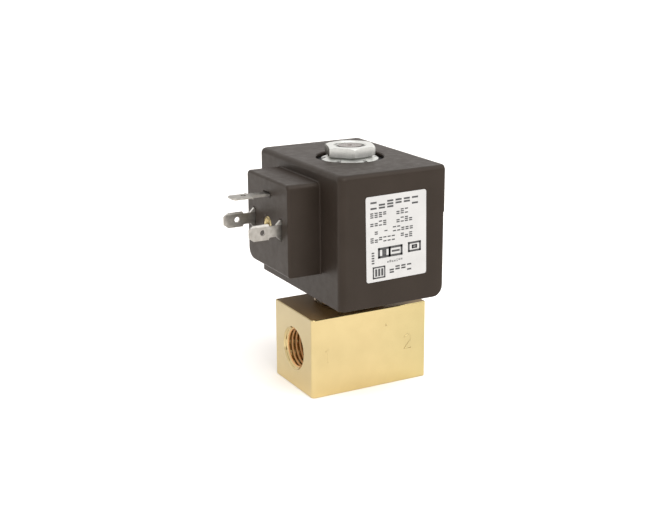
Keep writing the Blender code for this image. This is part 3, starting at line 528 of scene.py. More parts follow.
class Finish:
    """A material under construction: a Principled shader with textures in the row frame's metres."""

    def __init__(self, name):
        self.material = bpy.data.materials.new(name)
        self.material.use_nodes = True
        self.tree = self.material.node_tree
        self.shader = self.tree.nodes["Principled BSDF"]
        self.place = self.tree.nodes.new("ShaderNodeTexCoord").outputs["Object"]

    def add(self, kind, **settings):
        made = self.tree.nodes.new(kind)
        for name, value in settings.items():
            setattr(made, name, value)
        return made

    def link(self, output, target):
        self.tree.links.new(output, target)

    def grain(self, size, detail=3.0, place=None):
        """Noise from 0 to 1 whose spots are size (x, y, z) metres across."""
        mapping = self.add("ShaderNodeMapping")
        mapping.inputs["Scale"].default_value = [1 / length for length in size]
        self.link(place or self.place, mapping.inputs["Vector"])
        noise = self.add("ShaderNodeTexNoise")
        set_inputs(noise, Scale=1.0, Detail=detail, Roughness=0.55)
        self.link(mapping.outputs["Vector"], noise.inputs["Vector"])
        return noise.outputs["Fac"]

    def vector_math(self, operation, vector, value=None):
        node = self.add("ShaderNodeVectorMath", operation=operation)
        if value is not None:
            node.inputs[1].default_value = value
        self.link(vector, node.inputs[0])
        return node.outputs

    def lathe_place(self, axis="Z", centre=(0, 0, 0)):
        """A vector (radius, place along the axis, 0), for the fine lines that a lathe leaves."""
        moved = self.vector_math("SUBTRACT", self.place, centre)["Vector"]
        flat = self.vector_math("MULTIPLY", moved, (0, 1, 1) if axis == "X" else (1, 1, 0))["Vector"]
        joined = self.add("ShaderNodeCombineXYZ")
        self.link(self.vector_math("LENGTH", flat)["Value"], joined.inputs["X"])
        self.link(self.part(axis, moved), joined.inputs["Y"])
        return joined.outputs["Vector"]

    def part(self, axis, vector=None):
        """One coordinate of a place."""
        parts = self.add("ShaderNodeSeparateXYZ")
        self.link(vector or self.place, parts.inputs[0])
        return parts.outputs[axis]

    def radius(self, axis="Z", centre=(0, 0, 0)):
        """The distance of a place from the axis."""
        return self.part("X", self.lathe_place(axis, centre))

    def shift(self, name, factor, value):
        """Moves one of the shader's sockets to value where factor is 1."""
        socket = self.shader.inputs[name]
        mix = self.add("ShaderNodeMix")
        if socket.links:
            self.link(socket.links[0].from_socket, mix.inputs["A"])
        else:
            mix.inputs["A"].default_value = socket.default_value
        mix.inputs["B"].default_value = value
        self.link(factor, mix.inputs["Factor"])
        self.link(mix.outputs["Result"], socket)

    def along(self, direction):
        """How far a place lies along direction from the frame's origin."""
        return self.vector_math("DOT_PRODUCT", self.place, direction)["Value"]

    def both(self, first, second):
        """The product of two factors."""
        product = self.add("ShaderNodeMath", operation="MULTIPLY")
        self.link(first, product.inputs[0])
        self.link(second, product.inputs[1])
        return product.outputs[0]

    def bands(self, pitch, axis="Z"):
        """A sine wave from 0 to 1 that repeats every pitch along the axis."""
        wave = self.add("ShaderNodeTexWave", wave_type="BANDS", bands_direction=axis)
        set_inputs(wave, Scale=WAVE_REPEAT / pitch, Distortion=0.0)
        self.link(self.place, wave.inputs["Vector"])
        return wave.outputs["Fac"]

    def colour(self, factor, *stops):
        """The base colour along factor. Each stop is (position, colour)."""
        node = self.add("ShaderNodeValToRGB")
        elements = node.color_ramp.elements
        while len(elements) < len(stops):
            elements.new(0.5)
        for element, (position, colour) in zip(elements, stops):
            element.position = position
            element.color = (*colour, 1)
        self.link(factor, node.inputs["Fac"])
        self.link(node.outputs["Color"], self.shader.inputs["Base Color"])

    def span(self, factor, low, high, near=0.3, far=0.7):
        """factor's part from near to far, as a value from low to high."""
        node = self.add("ShaderNodeMapRange")
        for index, value in enumerate((near, far, low, high)):
            node.inputs[index + 1].default_value = value
        self.link(factor, node.inputs[0])
        return node.outputs[0]

    def above(self, value, mask):
        """0 where value is under the mask's first number and 1 where it is over the second."""
        return self.span(value, 0.0, 1.0, *mask)

    def below(self, value, mask):
        return self.span(value, 1.0, 0.0, *mask)

    def tint(self, factor, colour):
        """Multiplies the base colour by colour where factor is 1."""
        base = self.shader.inputs["Base Color"].links[0].from_socket
        mix = self.add("ShaderNodeMixRGB", blend_type="MULTIPLY")
        mix.inputs["Color2"].default_value = (*colour, 1)
        self.link(factor, mix.inputs["Fac"])
        self.link(base, mix.inputs["Color1"])
        self.link(mix.outputs["Color"], self.shader.inputs["Base Color"])

    def roughness(self, factor, low, high):
        self.link(self.span(factor, low, high), self.shader.inputs["Roughness"])

    def relief(self, height, depth):
        """Bump of that depth in metres."""
        bump = self.add("ShaderNodeBump")
        set_inputs(bump, Strength=1.0, Distance=depth)
        self.link(height, bump.inputs["Height"])
        self.link(bump.outputs["Normal"], self.shader.inputs["Normal"])


def moulded_plastic(name, dark, light, roughness, grain_depth, specular=0.5, shine=(1, 1, 1), index=1.5):
    """Moulded plastic with a fine spark-eroded texture and faint flow clouds. shine tints its reflections,
    which are weaker on the housing's top."""
    made = Finish(name)
    clouds = made.grain(mm(9, 9, 14), detail=2.0)
    made.colour(clouds, (0.3, dark), (0.7, light))
    made.roughness(made.grain((2.5 * MM,) * 3), *roughness)
    made.relief(made.grain((0.22 * MM,) * 3, detail=4.0), grain_depth)
    set_inputs(made.shader, IOR=index, Specular_IOR_Level=specular, Specular_Tint=(*shine, 1))
    made.shift("Specular IOR Level", made.above(made.part("Z"), HOUSING_TOP_MASK), 0.8 * specular)
    return made


def brushed_metal(name, dark, light, roughness, line_size, line_depth, blotch=6 * MM):
    """Metal with fine lines, and blotches of thin tarnish. line_size is a line's size along x, y and z."""
    made = Finish(name)
    made.colour(made.grain((blotch,) * 3, detail=4.0), (0.35, dark), (0.65, light))
    lines = made.grain(line_size, detail=4.0)
    made.roughness(lines, *roughness)
    made.relief(lines, line_depth)
    set_inputs(made.shader, Metallic=1.0)
    return made


def body_brass(name):
    """Milled brass, with painted light and shade: paler low down (painted light), darker towards the outlet
    end and high on the inlet side (painted shade), brown and dull on top (painted shade under the coil), and
    warm and dull in the ports (painted shade and painted bounced light)."""
    lines = mm(3.5, 0.10, 0.10)
    made = brushed_metal(name, (0.558, 0.447, 0.228), (0.583, 0.470, 0.242), (0.11, 0.18), lines, 0.0012 * MM)
    height = made.part("Z")
    # Painted light: the block is made paler low down, against the shade near the floor.
    made.tint(made.below(height, (0.0, PORT_HEIGHT)), (1.17, 1.16, 1.14))
    along_body = made.part("X")
    # Painted shade: darker towards the outlet end.
    made.tint(made.above(along_body, (0.0, BODY_SIZE.x / 2)), (0.89, 0.92, 0.89))
    # Painted shade: the inlet side darkens towards its top.
    inlet_side = made.below(along_body, INLET_SIDE_MASK)
    made.tint(made.both(inlet_side, made.above(height, (0.0, BODY_SIZE.z))), (0.74, 0.76, 0.86))
    # Painted shade: the top, which lies under the coil, is made brown and dull.
    top = made.above(height, BODY_TOP_MASK)
    made.tint(top, (0.38, 0.28, 0.2))
    made.shift("Metallic", top, 0.2)
    made.shift("Roughness", top, 0.5)
    # Painted shade with painted warm bounced light inside the ports.
    inside = made.below(made.radius("X", (0, 0, PORT_HEIGHT)), PORT_MASK)
    made.tint(inside, (1.05, 0.66, 0.46))
    made.shift("Metallic", inside, 0.1)
    made.shift("Roughness", inside, 0.4)
    return made


def tinned_metal(name):
    """Dull tin plate, with a painted highlight along the line pins' upper edges."""
    lines = mm(1.4, 0.12, 0.12)
    made = brushed_metal(
        name, (0.30, 0.285, 0.26), (0.395, 0.378, 0.35), (0.32, 0.42), lines, 0.003 * MM, blotch=1.2 * MM
    )
    height = made.part("Z")
    # Painted highlight: the line pins' upper edges are made about twice as bright.
    painted_highlight = made.both(made.above(height, PIN_HIGHLIGHT_MASK), made.below(height, LINE_PIN_MASK))
    made.tint(painted_highlight, (1.9, 1.95, 2.0))
    return made


def turned_metal(name, dark, light, roughness, line, depth, axis="Z", centre=(0, 0, 0)):
    """Metal from a lathe, with fine rings round its axis. line is a ring's width."""
    made = Finish(name)
    lathe = made.lathe_place(axis, centre)
    rings = made.grain((line, line, 1.0), detail=3.0, place=lathe)
    made.colour(made.grain((5 * MM,) * 3, detail=3.0), (0.35, dark), (0.65, light))
    made.roughness(rings, *roughness)
    made.relief(rings, depth)
    set_inputs(made.shader, Metallic=1.0)
    return made


def stud_steel(name):
    """Turned stainless steel, with painted shade in the thread and in the centre's dimple."""
    made = turned_metal(name, (0.24, 0.215, 0.20), (0.30, 0.27, 0.255), (0.2, 0.34), 0.16 * MM, 0.006 * MM)
    radius = made.radius()
    # Painted shade: the thread and its chamfer, in the gap inside the nut, are made nearly black.
    made.tint(made.above(radius, STUD_THREAD_MASK), (0.05, 0.048, 0.045))
    # Painted shade in the centre's dimple.
    made.tint(made.below(radius, STUD_DIMPLE_MASK), (0.22, 0.15, 0.13))
    return made


def plated_steel(name):
    """Zinc-plated steel: pale, slightly mottled crystals. The nut's thread and one of its sides get painted
    shade.
    """
    made = Finish(name)
    crystals = made.grain((0.6 * MM,) * 3, detail=4.0)
    pale, paler, palest = (0.60, 0.605, 0.58), (0.66, 0.665, 0.64), (0.69, 0.69, 0.655)
    made.colour(crystals, (0.3, pale), (0.55, paler), (0.75, palest))
    made.roughness(made.grain((1.2 * MM,) * 3), 0.36, 0.46)
    made.relief(crystals, 0.002 * MM)
    # Painted shade in the nut's thread.
    made.tint(made.below(made.radius(), NUT_THREAD_MASK), (0.15, 0.14, 0.13))
    # Painted shade on one side of the nut, chosen by the way that side faces.
    nut_only = made.above(made.part("Z"), NUT_HEIGHT_MASK)
    shaded_side = made.above(made.along(polar(NUT_SHADED_SIDE, 1)), NUT_SIDE_MASK)
    made.tint(made.both(nut_only, shaded_side), (0.2, 0.19, 0.17))
    set_inputs(made.shader, Metallic=0.65)
    return made


def wound_copper(name):
    """Enamelled wire in layers: one band for each turn, with painted shade in the grooves between turns
    and a painted highlight on each turn's crest.
    """
    made = Finish(name)
    turns = made.bands(0.28 * MM)
    # Painted shade and painted highlight: each turn runs dark in its groove and light on its crest.
    made.colour(turns, (0.0, (0.22, 0.05, 0.02)), (0.5, (0.62, 0.22, 0.10)), (1.0, (0.80, 0.36, 0.18)))
    made.relief(turns, 0.08 * MM)
    made.roughness(made.grain((1.5 * MM,) * 3), 0.25, 0.38)
    set_inputs(made.shader, Metallic=1.0, Coat_Weight=0.6, Coat_Roughness=0.15)
    return made


def earth_sleeve(name):
    """Green sleeve with a yellow stripe that winds round it."""
    made = Finish(name)
    stripe = made.bands(2.4 * MM, axis="DIAGONAL")
    made.colour(stripe, (0.50, (0.05, 0.28, 0.04)), (0.56, (0.75, 0.60, 0.04)))
    made.roughness(made.grain((0.8 * MM,) * 3), 0.35, 0.5)
    made.relief(made.grain((0.3 * MM,) * 3), 0.01 * MM)
    return made


def label_film(name):
    """Satin white film, very slightly dappled by the moulding under it."""
    made = Finish(name)
    clouds = made.grain((6 * MM,) * 3, detail=2.0)
    made.colour(clouds, (0.3, (0.475, 0.472, 0.465)), (0.7, (0.51, 0.506, 0.498)))
    made.roughness(made.grain((2 * MM,) * 3), 0.32, 0.42)
    made.relief(made.grain((0.35 * MM,) * 3), 0.003 * MM)
    return made


def label_ink(name):
    """Thermal print: almost black, greyer where the ribbon gave out."""
    made = Finish(name)
    ribbon = made.grain((0.18 * MM,) * 3, detail=2.0)
    made.colour(ribbon, (0.35, (0.018, 0.018, 0.02)), (0.75, (0.09, 0.09, 0.09)))
    made.roughness(made.grain((0.5 * MM,) * 3), 0.4, 0.55)
    return made


def make_finishes():
    """One material for each of the record's slots, and the gland's and the screw bush's own brass."""
    black, grey = (0.012,) * 3, (0.02,) * 3
    makers = {
        "brass": (body_brass,),
        "stainless_steel": (
            turned_metal, (0.45, 0.44, 0.42), (0.54, 0.53, 0.51), (0.2, 0.34), 0.12 * MM, 0.003 * MM
        ),
        "magnetic_stainless": (stud_steel,),
        "copper": (wound_copper,),
        "white_ptfe": (moulded_plastic, (0.72, 0.72, 0.70), (0.80, 0.80, 0.78), (0.4, 0.5), 0.01 * MM),
        "seal_rubber": (moulded_plastic, black, grey, (0.6, 0.75), 0.02 * MM),
        "black_moulding": (
            moulded_plastic, (0.0225, 0.0165, 0.0125), (0.0275, 0.0205, 0.016), (0.36, 0.46), 0.012 * MM,
            0.30, (1.0, 0.90, 0.82), 1.38,
        ),
        "bobbin_plastic": (moulded_plastic, black, grey, (0.45, 0.6), 0.02 * MM),
        "blackened_steel": (
            moulded_plastic, (0.006,) * 3, (0.013, 0.012, 0.012), (0.5, 0.65), 0.015 * MM, 0.25
        ),
        "wire_enamel": (moulded_plastic, (0.30, 0.05, 0.02), (0.42, 0.08, 0.03), (0.2, 0.3), 0.004 * MM),
        "earth_wire": (earth_sleeve,),
        "tinned_brass": (tinned_metal,),
        "label_film": (label_film,),
        "zinc_plated_steel": (plated_steel,),
        # The gland's brass is dark all over: painted shade, for the gland stands in the shade under the coil.
        "turned_brass": (
            turned_metal, (0.22, 0.155, 0.085), (0.30, 0.215, 0.12), (0.12, 0.2), 0.14 * MM, 0.003 * MM
        ),
        "bush_brass": (
            turned_metal, (0.38, 0.30, 0.15), (0.47, 0.39, 0.21), (0.16, 0.24), 0.12 * MM, 0.006 * MM,
            "X", (0, 0, INSERT_Z),
        ),
    }
    return {name: maker(name, *settings).material for name, (maker, *settings) in makers.items()}


# Pieces


def paint(obj, material):
    obj.data.materials.clear()
    obj.data.materials.append(material)


def show(obj, node, finish=None):
    """obj stands for the CAD node: it rides on the node's body and takes the finish of the node's slot."""
    obj.data.shade_smooth()
    obj.data.set_sharp_from_angle(angle=SHARP_EDGE)
    paint(obj, finish or finishes[SLOT_OF[node]])
    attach(obj, NODES[node]["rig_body"])
    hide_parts(node)
    return obj


def weigh_normals(obj):
    """Keeps wide flat faces flat in the shading beside rounded edges."""
    weighted = obj.modifiers.new("weighted_normals", "WEIGHTED_NORMAL")
    weighted.keep_sharp = True


def port_cutters(side):
    """The threaded bore and the chamfered mouth of the port on that side, -1 or 1."""
    face = Vector((side * BODY_SIZE.x / 2, 0, PORT_HEIGHT))
    inward = Vector((-side, 0, 0))
    bore_radius = PORT_CORE_RADIUS + PORT_BORE_GAP
    bore = cylinder("port_bore", bore_radius, face - inward * PAST, face + inward * PORT_DEPTH)
    radii = (PORT_CORE_RADIUS, PORT_THREAD_RADIUS)
    thread = threaded_rod("port_thread", radii, PORT_PITCH, -PAST, PORT_THREAD_END)
    mouth = turned("port_mouth", [
        (0, -PAST), (PORT_MOUTH_RADIUS, -PAST), (PORT_MOUTH_RADIUS, 0),
        (PORT_CORE_RADIUS, PORT_MOUTH_DEPTH), (0, PORT_MOUTH_DEPTH),
    ])
    return bore, place(thread, aimed(face, inward)), place(mouth, aimed(face, inward))


def stamped_line(name, corners, centre):
    """A tool for a round groove in the front face, through corners in shares of the mark's height."""
    depth = -BODY_SIZE.y / 2 - STAMP_RADIUS + STAMP_SUNK
    points = []
    for across, up in corners:
        corner = centre + Vector((across, 0, up)) * STAMP_HEIGHT
        points.append(Vector((corner.x, depth, corner.z)))
    return tube(name, points, STAMP_RADIUS, Vector((0, 1, 0)))


def port_marks():
    """The port numbers 1 and 2, as stamped lines."""
    yield stamped_line("mark_1_flag", FIGURE_1_FLAG, PORT_1_MARK)
    yield stamped_line("mark_1_stem", FIGURE_1_STEM, PORT_1_MARK)
    centre, radius = FIGURE_2_BOW
    angles = [radians(degrees) for degrees in FIGURE_2_BOW_DEGREES]
    bow = [(cos(angle) * radius, centre + sin(angle) * radius) for angle in angles]
    yield stamped_line("mark_2", bow + FIGURE_2_FOOT, PORT_2_MARK)


def make_valve_body():
    half = BODY_SIZE / 2
    stations = [(rise, -inset) for rise, inset in quarter_round(BODY_EDGE)]
    stations += [(BODY_SIZE.z - rise, grow) for rise, grow in reversed(stations)]
    rings = []
    for height, grow in stations:
        outline = rounded_outline((-half.x, half.x), (-half.y, half.y), BODY_CORNERS, grow)
        rings.append([Vector((x, y, height)) for x, y in outline])
    body = loft("body_block", rings)
    top, orifice_end = BODY_SIZE.z + PAST, PORT_HEIGHT - ORIFICE_RADIUS
    cut(body, turned("tube_seat", [
        (0, top), (GLAND_BORE_RADIUS, top), (GLAND_BORE_RADIUS, RING_LEDGE_Z),
        (CHAMBER_RADIUS, RING_LEDGE_Z), (CHAMBER_RADIUS, CHAMBER_FLOOR_Z),
        (SEAT_FOOT_RADIUS, CHAMBER_FLOOR_Z), (SEAT_TOP_RADIUS, SEAT_TOP_Z), (ORIFICE_RADIUS, SEAT_TOP_Z),
        (ORIFICE_RADIUS, orifice_end), (0, orifice_end),
    ]))
    for side in (-1, 1):
        cut(body, *port_cutters(side))
    outlet_start = Vector((-ORIFICE_RADIUS, 0, PORT_HEIGHT))
    outlet_end = Vector((half.x - PORT_DEPTH + PAST, 0, PORT_HEIGHT))
    front = Vector((PUNCH_DOT.x, -half.y, PUNCH_DOT.z))
    sunk = Vector((0, 1, 0)) * PUNCH_DEPTH
    cut(
        body,
        cylinder("inlet_drilling", INLET_DRILLING_RADIUS, *INLET_DRILLING_ENDS),
        cylinder("outlet_drilling", OUTLET_DRILLING_RADIUS, outlet_start, outlet_end),
        cylinder("punch", 2 * PUNCH_RADIUS, front - sunk, front + sunk, end_radius=0),
        *port_marks(),
    )
    weigh_normals(show(body, "valve_body"))


def make_gland():
    bottom, top = GLAND_COLLAR_Z
    collar, large, small = GLAND_COLLAR_RADIUS, GLAND_CHAMFER, GLAND_CHAMFER / 2
    gland = turned("gland_turning", [
        (0, top), (collar - large, top), (collar, top - large), (collar, bottom + small),
        (collar - small, bottom), (GLAND_SPIGOT_RADIUS, bottom),
        (GLAND_SPIGOT_RADIUS, GLAND_SPIGOT_Z), (0, GLAND_SPIGOT_Z),
    ])
    combine(gland, "UNION", hexagon("gland_hexagon", GLAND_HEX_FLATS, top - PAST, GLAND_TOP_Z))
    cut(gland, upright("gland_bore", GLAND_BORE, GLAND_SPIGOT_Z - PAST, GLAND_TOP_Z + PAST, FINE_ROUND))
    # The gland's dark brass is painted shade.
    weigh_normals(show(gland, "tube_gland", finishes["turned_brass"]))


def make_fixed_core():
    inner, outer = SHADING_GROOVE_RADII
    bottom, shoulder = CORE_Z
    groove_top = bottom + SHADING_GROOVE_DEPTH
    core = turned("core_and_stud", [
        (0, shoulder), (CORE_RADIUS, shoulder), (CORE_RADIUS, bottom), (outer, bottom),
        (outer, groove_top), (inner, groove_top), (inner, bottom), (0, bottom),
    ])
    stud = threaded_rod("stud", STUD_RADII, STUD_PITCH, shoulder - PAST, STUD_TOP_Z + PAST)
    wide, foot = STUD_RADII[1] + PAST, shoulder - PAST / 2
    chamfer_foot = STUD_TOP_Z - (wide - STUD_END_RADIUS) * tan(STUD_CHAMFER_SLOPE)
    combine(stud, "INTERSECT", turned("stud_end", [
        (0, STUD_TOP_Z), (STUD_END_RADIUS, STUD_TOP_Z), (wide, chamfer_foot), (wide, foot), (0, foot),
    ]))
    top, sunk = UP * STUD_TOP_Z, UP * STUD_DIMPLE
    cut(stud, cylinder("dimple", 2 * STUD_DIMPLE, top + sunk, top - sunk, end_radius=0))
    combine(core, "UNION", stud)
    show(core, "fixed_core")


def make_nut():
    bottom, top = NUT_Z
    nut = hexagon("hexagon_nut", NUT_FLATS, bottom, top, NUT_TURNED_BY)
    outer = NUT_FACE_RADIUS + NUT_CHAMFER / tan(NUT_CHAMFER_SLOPE)
    combine(nut, "INTERSECT", turned("chamfer_form", [
        (0, top), (NUT_FACE_RADIUS, top), (outer, top - NUT_CHAMFER),
        (outer, bottom + NUT_CHAMFER), (NUT_FACE_RADIUS, bottom), (0, bottom),
    ]))
    soften(nut, NUT_EDGE, segments=2, angle=radians(20))
    wide, core = NUT_MOUTH_RADIUS + PAST, NUT_THREAD_RADII[0]
    mouths = []
    for face, inward in ((UP * bottom, UP), (UP * top, -UP)):
        ends = (face - inward * PAST, face + inward * (NUT_MOUTH_RADIUS - core))
        mouths.append(cylinder("nut_mouth", wide, *ends, FINE_ROUND, core))
    cut(nut, threaded_rod("nut_thread", NUT_THREAD_RADII, STUD_PITCH, bottom - PAST, top + PAST), *mouths)
    show(nut, "coil_nut")


def washer_section(angle, rim, twist):
    """The washer's section at that angle, out to the rim, with the rim lifted by twist."""
    inner, notch, outer = WASHER_RADII
    stations = [inner, (inner + notch) / 2, notch, (notch + outer) / 2, outer]
    lower = []
    for radius in stations:
        radius = min(radius, rim)
        rise = WASHER_DISH * (outer - radius) / (outer - inner)
        lift = twist * max(0.0, (radius - notch) / (outer - notch))
        lower.append((radius, WASHER_RIM_Z + rise + lift))
    upper = [(radius, height + WASHER_THICKNESS) for radius, height in reversed(lower)]
    turn = Matrix.Rotation(angle, 3, "Z")
    return [turn @ Vector((radius, 0, height)) for radius, height in lower + upper]


def make_washer():
    """A dished washer whose teeth are twisted a little, as a toothed lock washer's are."""
    _, notch, outer = WASHER_RADII
    half_notch = asin(WASHER_NOTCH_WIDTH / 2 / notch)
    pitch = tau / WASHER_TEETH
    half_tooth = pitch / 2 - half_notch
    rings = []
    for tooth in range(WASHER_TEETH):
        middle = WASHER_TURNED_BY + tooth * pitch
        for step in range(-WASHER_STEPS, WASHER_STEPS + 1):
            share = step / WASHER_STEPS
            rings.append(washer_section(middle + share * half_tooth, outer, share**3 * WASHER_TWIST))
        for share in WASHER_NOTCH_SHARES:
            rings.append(washer_section(middle + pitch / 2 + share * half_notch, notch, 0.0))
    show(loft("toothed_washer", rings, loop=True), "lock_washer")


def housing_block():
    """Rounded rectangles one above another. Each side is drawn in by its own rounded edges."""
    bottom, top = HOUSING_Z
    heights = {HOUSING_STEP_Z, HOUSING_STEP_Z + HOUSING_STEP / 2}
    edges = list(zip(HOUSING_BOTTOM_EDGES, HOUSING_TOP_EDGES))
    for low, high in edges:
        heights |= {round(bottom + rise, SAME_HEIGHT_DIGITS) for rise, _ in quarter_round(low)}
        heights |= {round(top - drop, SAME_HEIGHT_DIGITS) for drop, _ in quarter_round(high)}
    rings = []
    for height in sorted(heights):
        insets = [inset_at(height - bottom, low) + inset_at(top - height, high) for low, high in edges]
        if height <= HOUSING_STEP_Z:
            insets[1] += HOUSING_STEP
        x_range = (HOUSING_X[0] + insets[0], HOUSING_X[1] - insets[1])
        y_range = (HOUSING_Y[0] + insets[2], HOUSING_Y[1] - insets[3])
        outline = rounded_outline(x_range, y_range, HOUSING_CORNERS)
        rings.append([Vector((x, y, height)) for x, y in outline])
    return loft("housing_moulding", rings)


def connector_boss():
    """Rounded rectangles one before another, from a fillet at the root to the rounded front edge."""
    face = HOUSING_X[0]
    root = [(face + BOSS_ROOT, BOSS_ROOT_FILLET)]
    root += [(face - drop, inset) for drop, inset in quarter_round(BOSS_ROOT_FILLET)]
    front = [(BOSS_FRONT_X + rise, -inset) for rise, inset in quarter_round(BOSS_FRONT_EDGE)]
    rings = []
    for x, grow in root + front[::-1]:
        outline = rounded_outline(BOSS_Y, BOSS_Z, BOSS_CORNERS, grow)
        rings.append([Vector((x, y, z)) for y, z in outline])
    return loft("connector_boss", rings)


def pin_slot(name, y, z, pin, upright):
    """The slot round a terminal, with a small lead-in at the boss' face."""
    half_thickness, half_width = PIN_HALF_THICKNESS + PIN_SLOT_GAP, pin["foot"] + PIN_SLOT_GAP
    half = (half_thickness, half_width) if upright else (half_width, half_thickness)
    stations = [
        (BOSS_FRONT_X - PIN_SLOT_CHAMFER, 2 * PIN_SLOT_CHAMFER),
        (BOSS_FRONT_X + PIN_SLOT_CHAMFER, 0),
        (WIRING_ROOM[0][0] + PAST, 0),
    ]
    rings = []
    for x, grow in stations:
        a, b = half[0] + grow, half[1] + grow
        corners = ((-a, -b), (a, -b), (a, b), (-a, b))
        rings.append([Vector((x, y + side, z + rise)) for side, rise in corners])
    return loft(name, rings)


def housing_cutters():
    """Everything that the housing is hollow for."""
    yield block("yoke_room", *YOKE_ROOM)
    yield upright("winding_room", WINDING_ROOM_RADIUS, *WINDING_ROOM_Z)
    bottom, top = HOUSING_Z
    yield turned("recess", [
        (0, top + RECESS_CHAMFER), (RECESS_RADIUS + 2 * RECESS_CHAMFER, top + RECESS_CHAMFER),
        (RECESS_RADIUS, top - RECESS_CHAMFER), (RECESS_RADIUS, RECESS_FLOOR_Z), (0, RECESS_FLOOR_Z),
    ])
    yield upright("housing_bore", HOUSING_BORE_RADIUS, bottom - PAST, YOKE_FLOOR_Z, FINE_ROUND)
    yield block("wiring_room", *WIRING_ROOM)
    yield block("strap_room", *STRAP_ROOM)
    yield pin_slot("line_slot_1", -LINE_PIN_SPREAD, LINE_PIN_Z, LINE_PIN, True)
    yield pin_slot("line_slot_2", LINE_PIN_SPREAD, LINE_PIN_Z, LINE_PIN, True)
    yield pin_slot("earth_slot", 0, EARTH_PIN_Z, EARTH_PIN, False)
    radius, depth = INSERT_RADIUS + INSERT_POCKET_GAP, INSERT_LENGTH + INSERT_POCKET_GAP
    chamfer, end = INSERT_POCKET_CHAMFER, WIRING_ROOM[0][0] + PAST - BOSS_FRONT_X
    pocket = turned("insert_pocket", [
        (0, -chamfer), (radius + 2 * chamfer, -chamfer), (radius, chamfer), (radius, depth),
        (SCREW_HOLE_RADIUS, depth), (SCREW_HOLE_RADIUS, end), (0, end),
    ], ROUND)
    yield place(pocket, INSERT_PLACE)


def make_housing():
    housing = combine(housing_block(), "UNION", connector_boss())
    cut(housing, *housing_cutters())
    weigh_normals(show(housing, "coil_housing"))


def terminal_outline(pin):
    """Half the outline of a flat pin, from its inner end to its tip, as (x, half width) points."""
    tip_x = pin["tip_x"]
    foot_x = BOSS_FRONT_X - PIN_STEP
    taper_x = tip_x + PIN_TAPER
    blade_x = taper_x + PIN_BLADE_LENGTH
    return [
        (PIN_INNER_X, pin["foot"]),
        (foot_x, pin["foot"]),
        (foot_x - PIN_FLARE, PIN_NECK_HALF),
        (blade_x + PIN_STEP, PIN_NECK_HALF),
        (blade_x, pin["blade"]),
        (taper_x, pin["blade"]),
        (tip_x + PIN_STEP, pin["tip"] + PIN_STEP),
        (tip_x, pin["tip"]),
    ]


def coining_wedge(corner, across):
    """A long wedge that slopes a pin's face down to its edge, from across the edge at corner."""
    slope = (PIN_HALF_THICKNESS - PIN_COIN_HALF) / PIN_COIN_WIDTH
    along = across.cross(UP)
    rings = []
    for end in (-PIN_COINED, PIN_COINED):
        inner = corner + along * end - across * PIN_COIN_WIDTH
        outer = corner + along * end + across * PAST
        edge = outer + UP * (PIN_COIN_HALF - slope * PAST)
        rings.append([inner + UP * PIN_HALF_THICKNESS, edge, outer + UP * PAST, inner + UP * PAST])
    return loft("coining", rings)


def coin_edges(made, pin):
    """Slopes both faces down to the edges of the tip and the blade."""
    middle = pin["tip_x"] + PIN_COINED + PIN_TAPER / 2
    edges = [
        (Vector((pin["tip_x"], 0, 0)), Vector((-1, 0, 0))),
        (Vector((middle, pin["blade"], 0)), Vector((0, 1, 0))),
        (Vector((middle, -pin["blade"], 0)), Vector((0, -1, 0))),
    ]
    for corner, across in edges:
        for turn in (0, 180):
            cut(made, place(coining_wedge(corner, across), Matrix.Rotation(radians(turn), 4, "X")))


def flat_pin(name, pin, matrix, node):
    """A pin stamped from sheet, with soft edges, a coined blade and its cable hole."""
    upper = terminal_outline(pin)
    outline = upper + [(x, -half) for x, half in reversed(upper)]
    heights = (-PIN_HALF_THICKNESS, PIN_HALF_THICKNESS)
    made = loft(name, [[Vector((x, y, height)) for x, y in outline] for height in heights])
    coin_edges(made, pin)
    hole = Vector((pin["tip_x"] + PIN_HOLE_FROM_TIP, 0, 0))
    cut(made, cylinder("pin_hole", PIN_HOLE_RADIUS, hole - UP * PAST, hole + UP * PAST, PIN_HOLE_SIDES))
    soften(made, PIN_EDGE)
    weigh_normals(show(place(made, matrix), node))


def make_terminals():
    on_edge = Matrix.Rotation(radians(90), 4, "X")
    for index, y in enumerate((-LINE_PIN_SPREAD, LINE_PIN_SPREAD)):
        matrix = Matrix.Translation((0, y, LINE_PIN_Z)) @ on_edge
        flat_pin(f"line_pin_{index + 1}", LINE_PIN, matrix, f"line_terminal_{index + 1}")
    flat_pin("earth_pin", EARTH_PIN, Matrix.Translation((0, 0, EARTH_PIN_Z)), "earth_terminal")


def make_insert():
    """A brass bush for the connector's screw, with its M3 thread."""
    length, third = INSERT_LENGTH, INSERT_LENGTH / 3
    radius, waist, groove = INSERT_RADIUS, INSERT_RADIUS - INSERT_GROOVE, INSERT_GROOVE
    bush = turned("screw_bush", [
        (waist, length), (radius, length - groove), (radius, 2 * third), (waist, 2 * third - groove),
        (waist, third + groove), (radius, third), (radius, INSERT_LIP), (radius - INSERT_LIP, 0),
        (0, 0), (0, length),
    ], ROUND)
    core, crest = INSERT_THREAD_RADII
    sides, steps = SMALL_THREAD_SIDES, SMALL_THREAD_STEPS
    thread = threaded_rod("insert_thread", (core, crest), INSERT_PITCH, -PAST, length + PAST, sides, steps)
    sink_radius = crest + INSERT_LIP
    cut(bush, thread, upright("insert_sink", sink_radius + PAST, -PAST, sink_radius - core, sides, core))
    show(place(bush, INSERT_PLACE), "connector_screw_insert", finishes["bush_brass"])


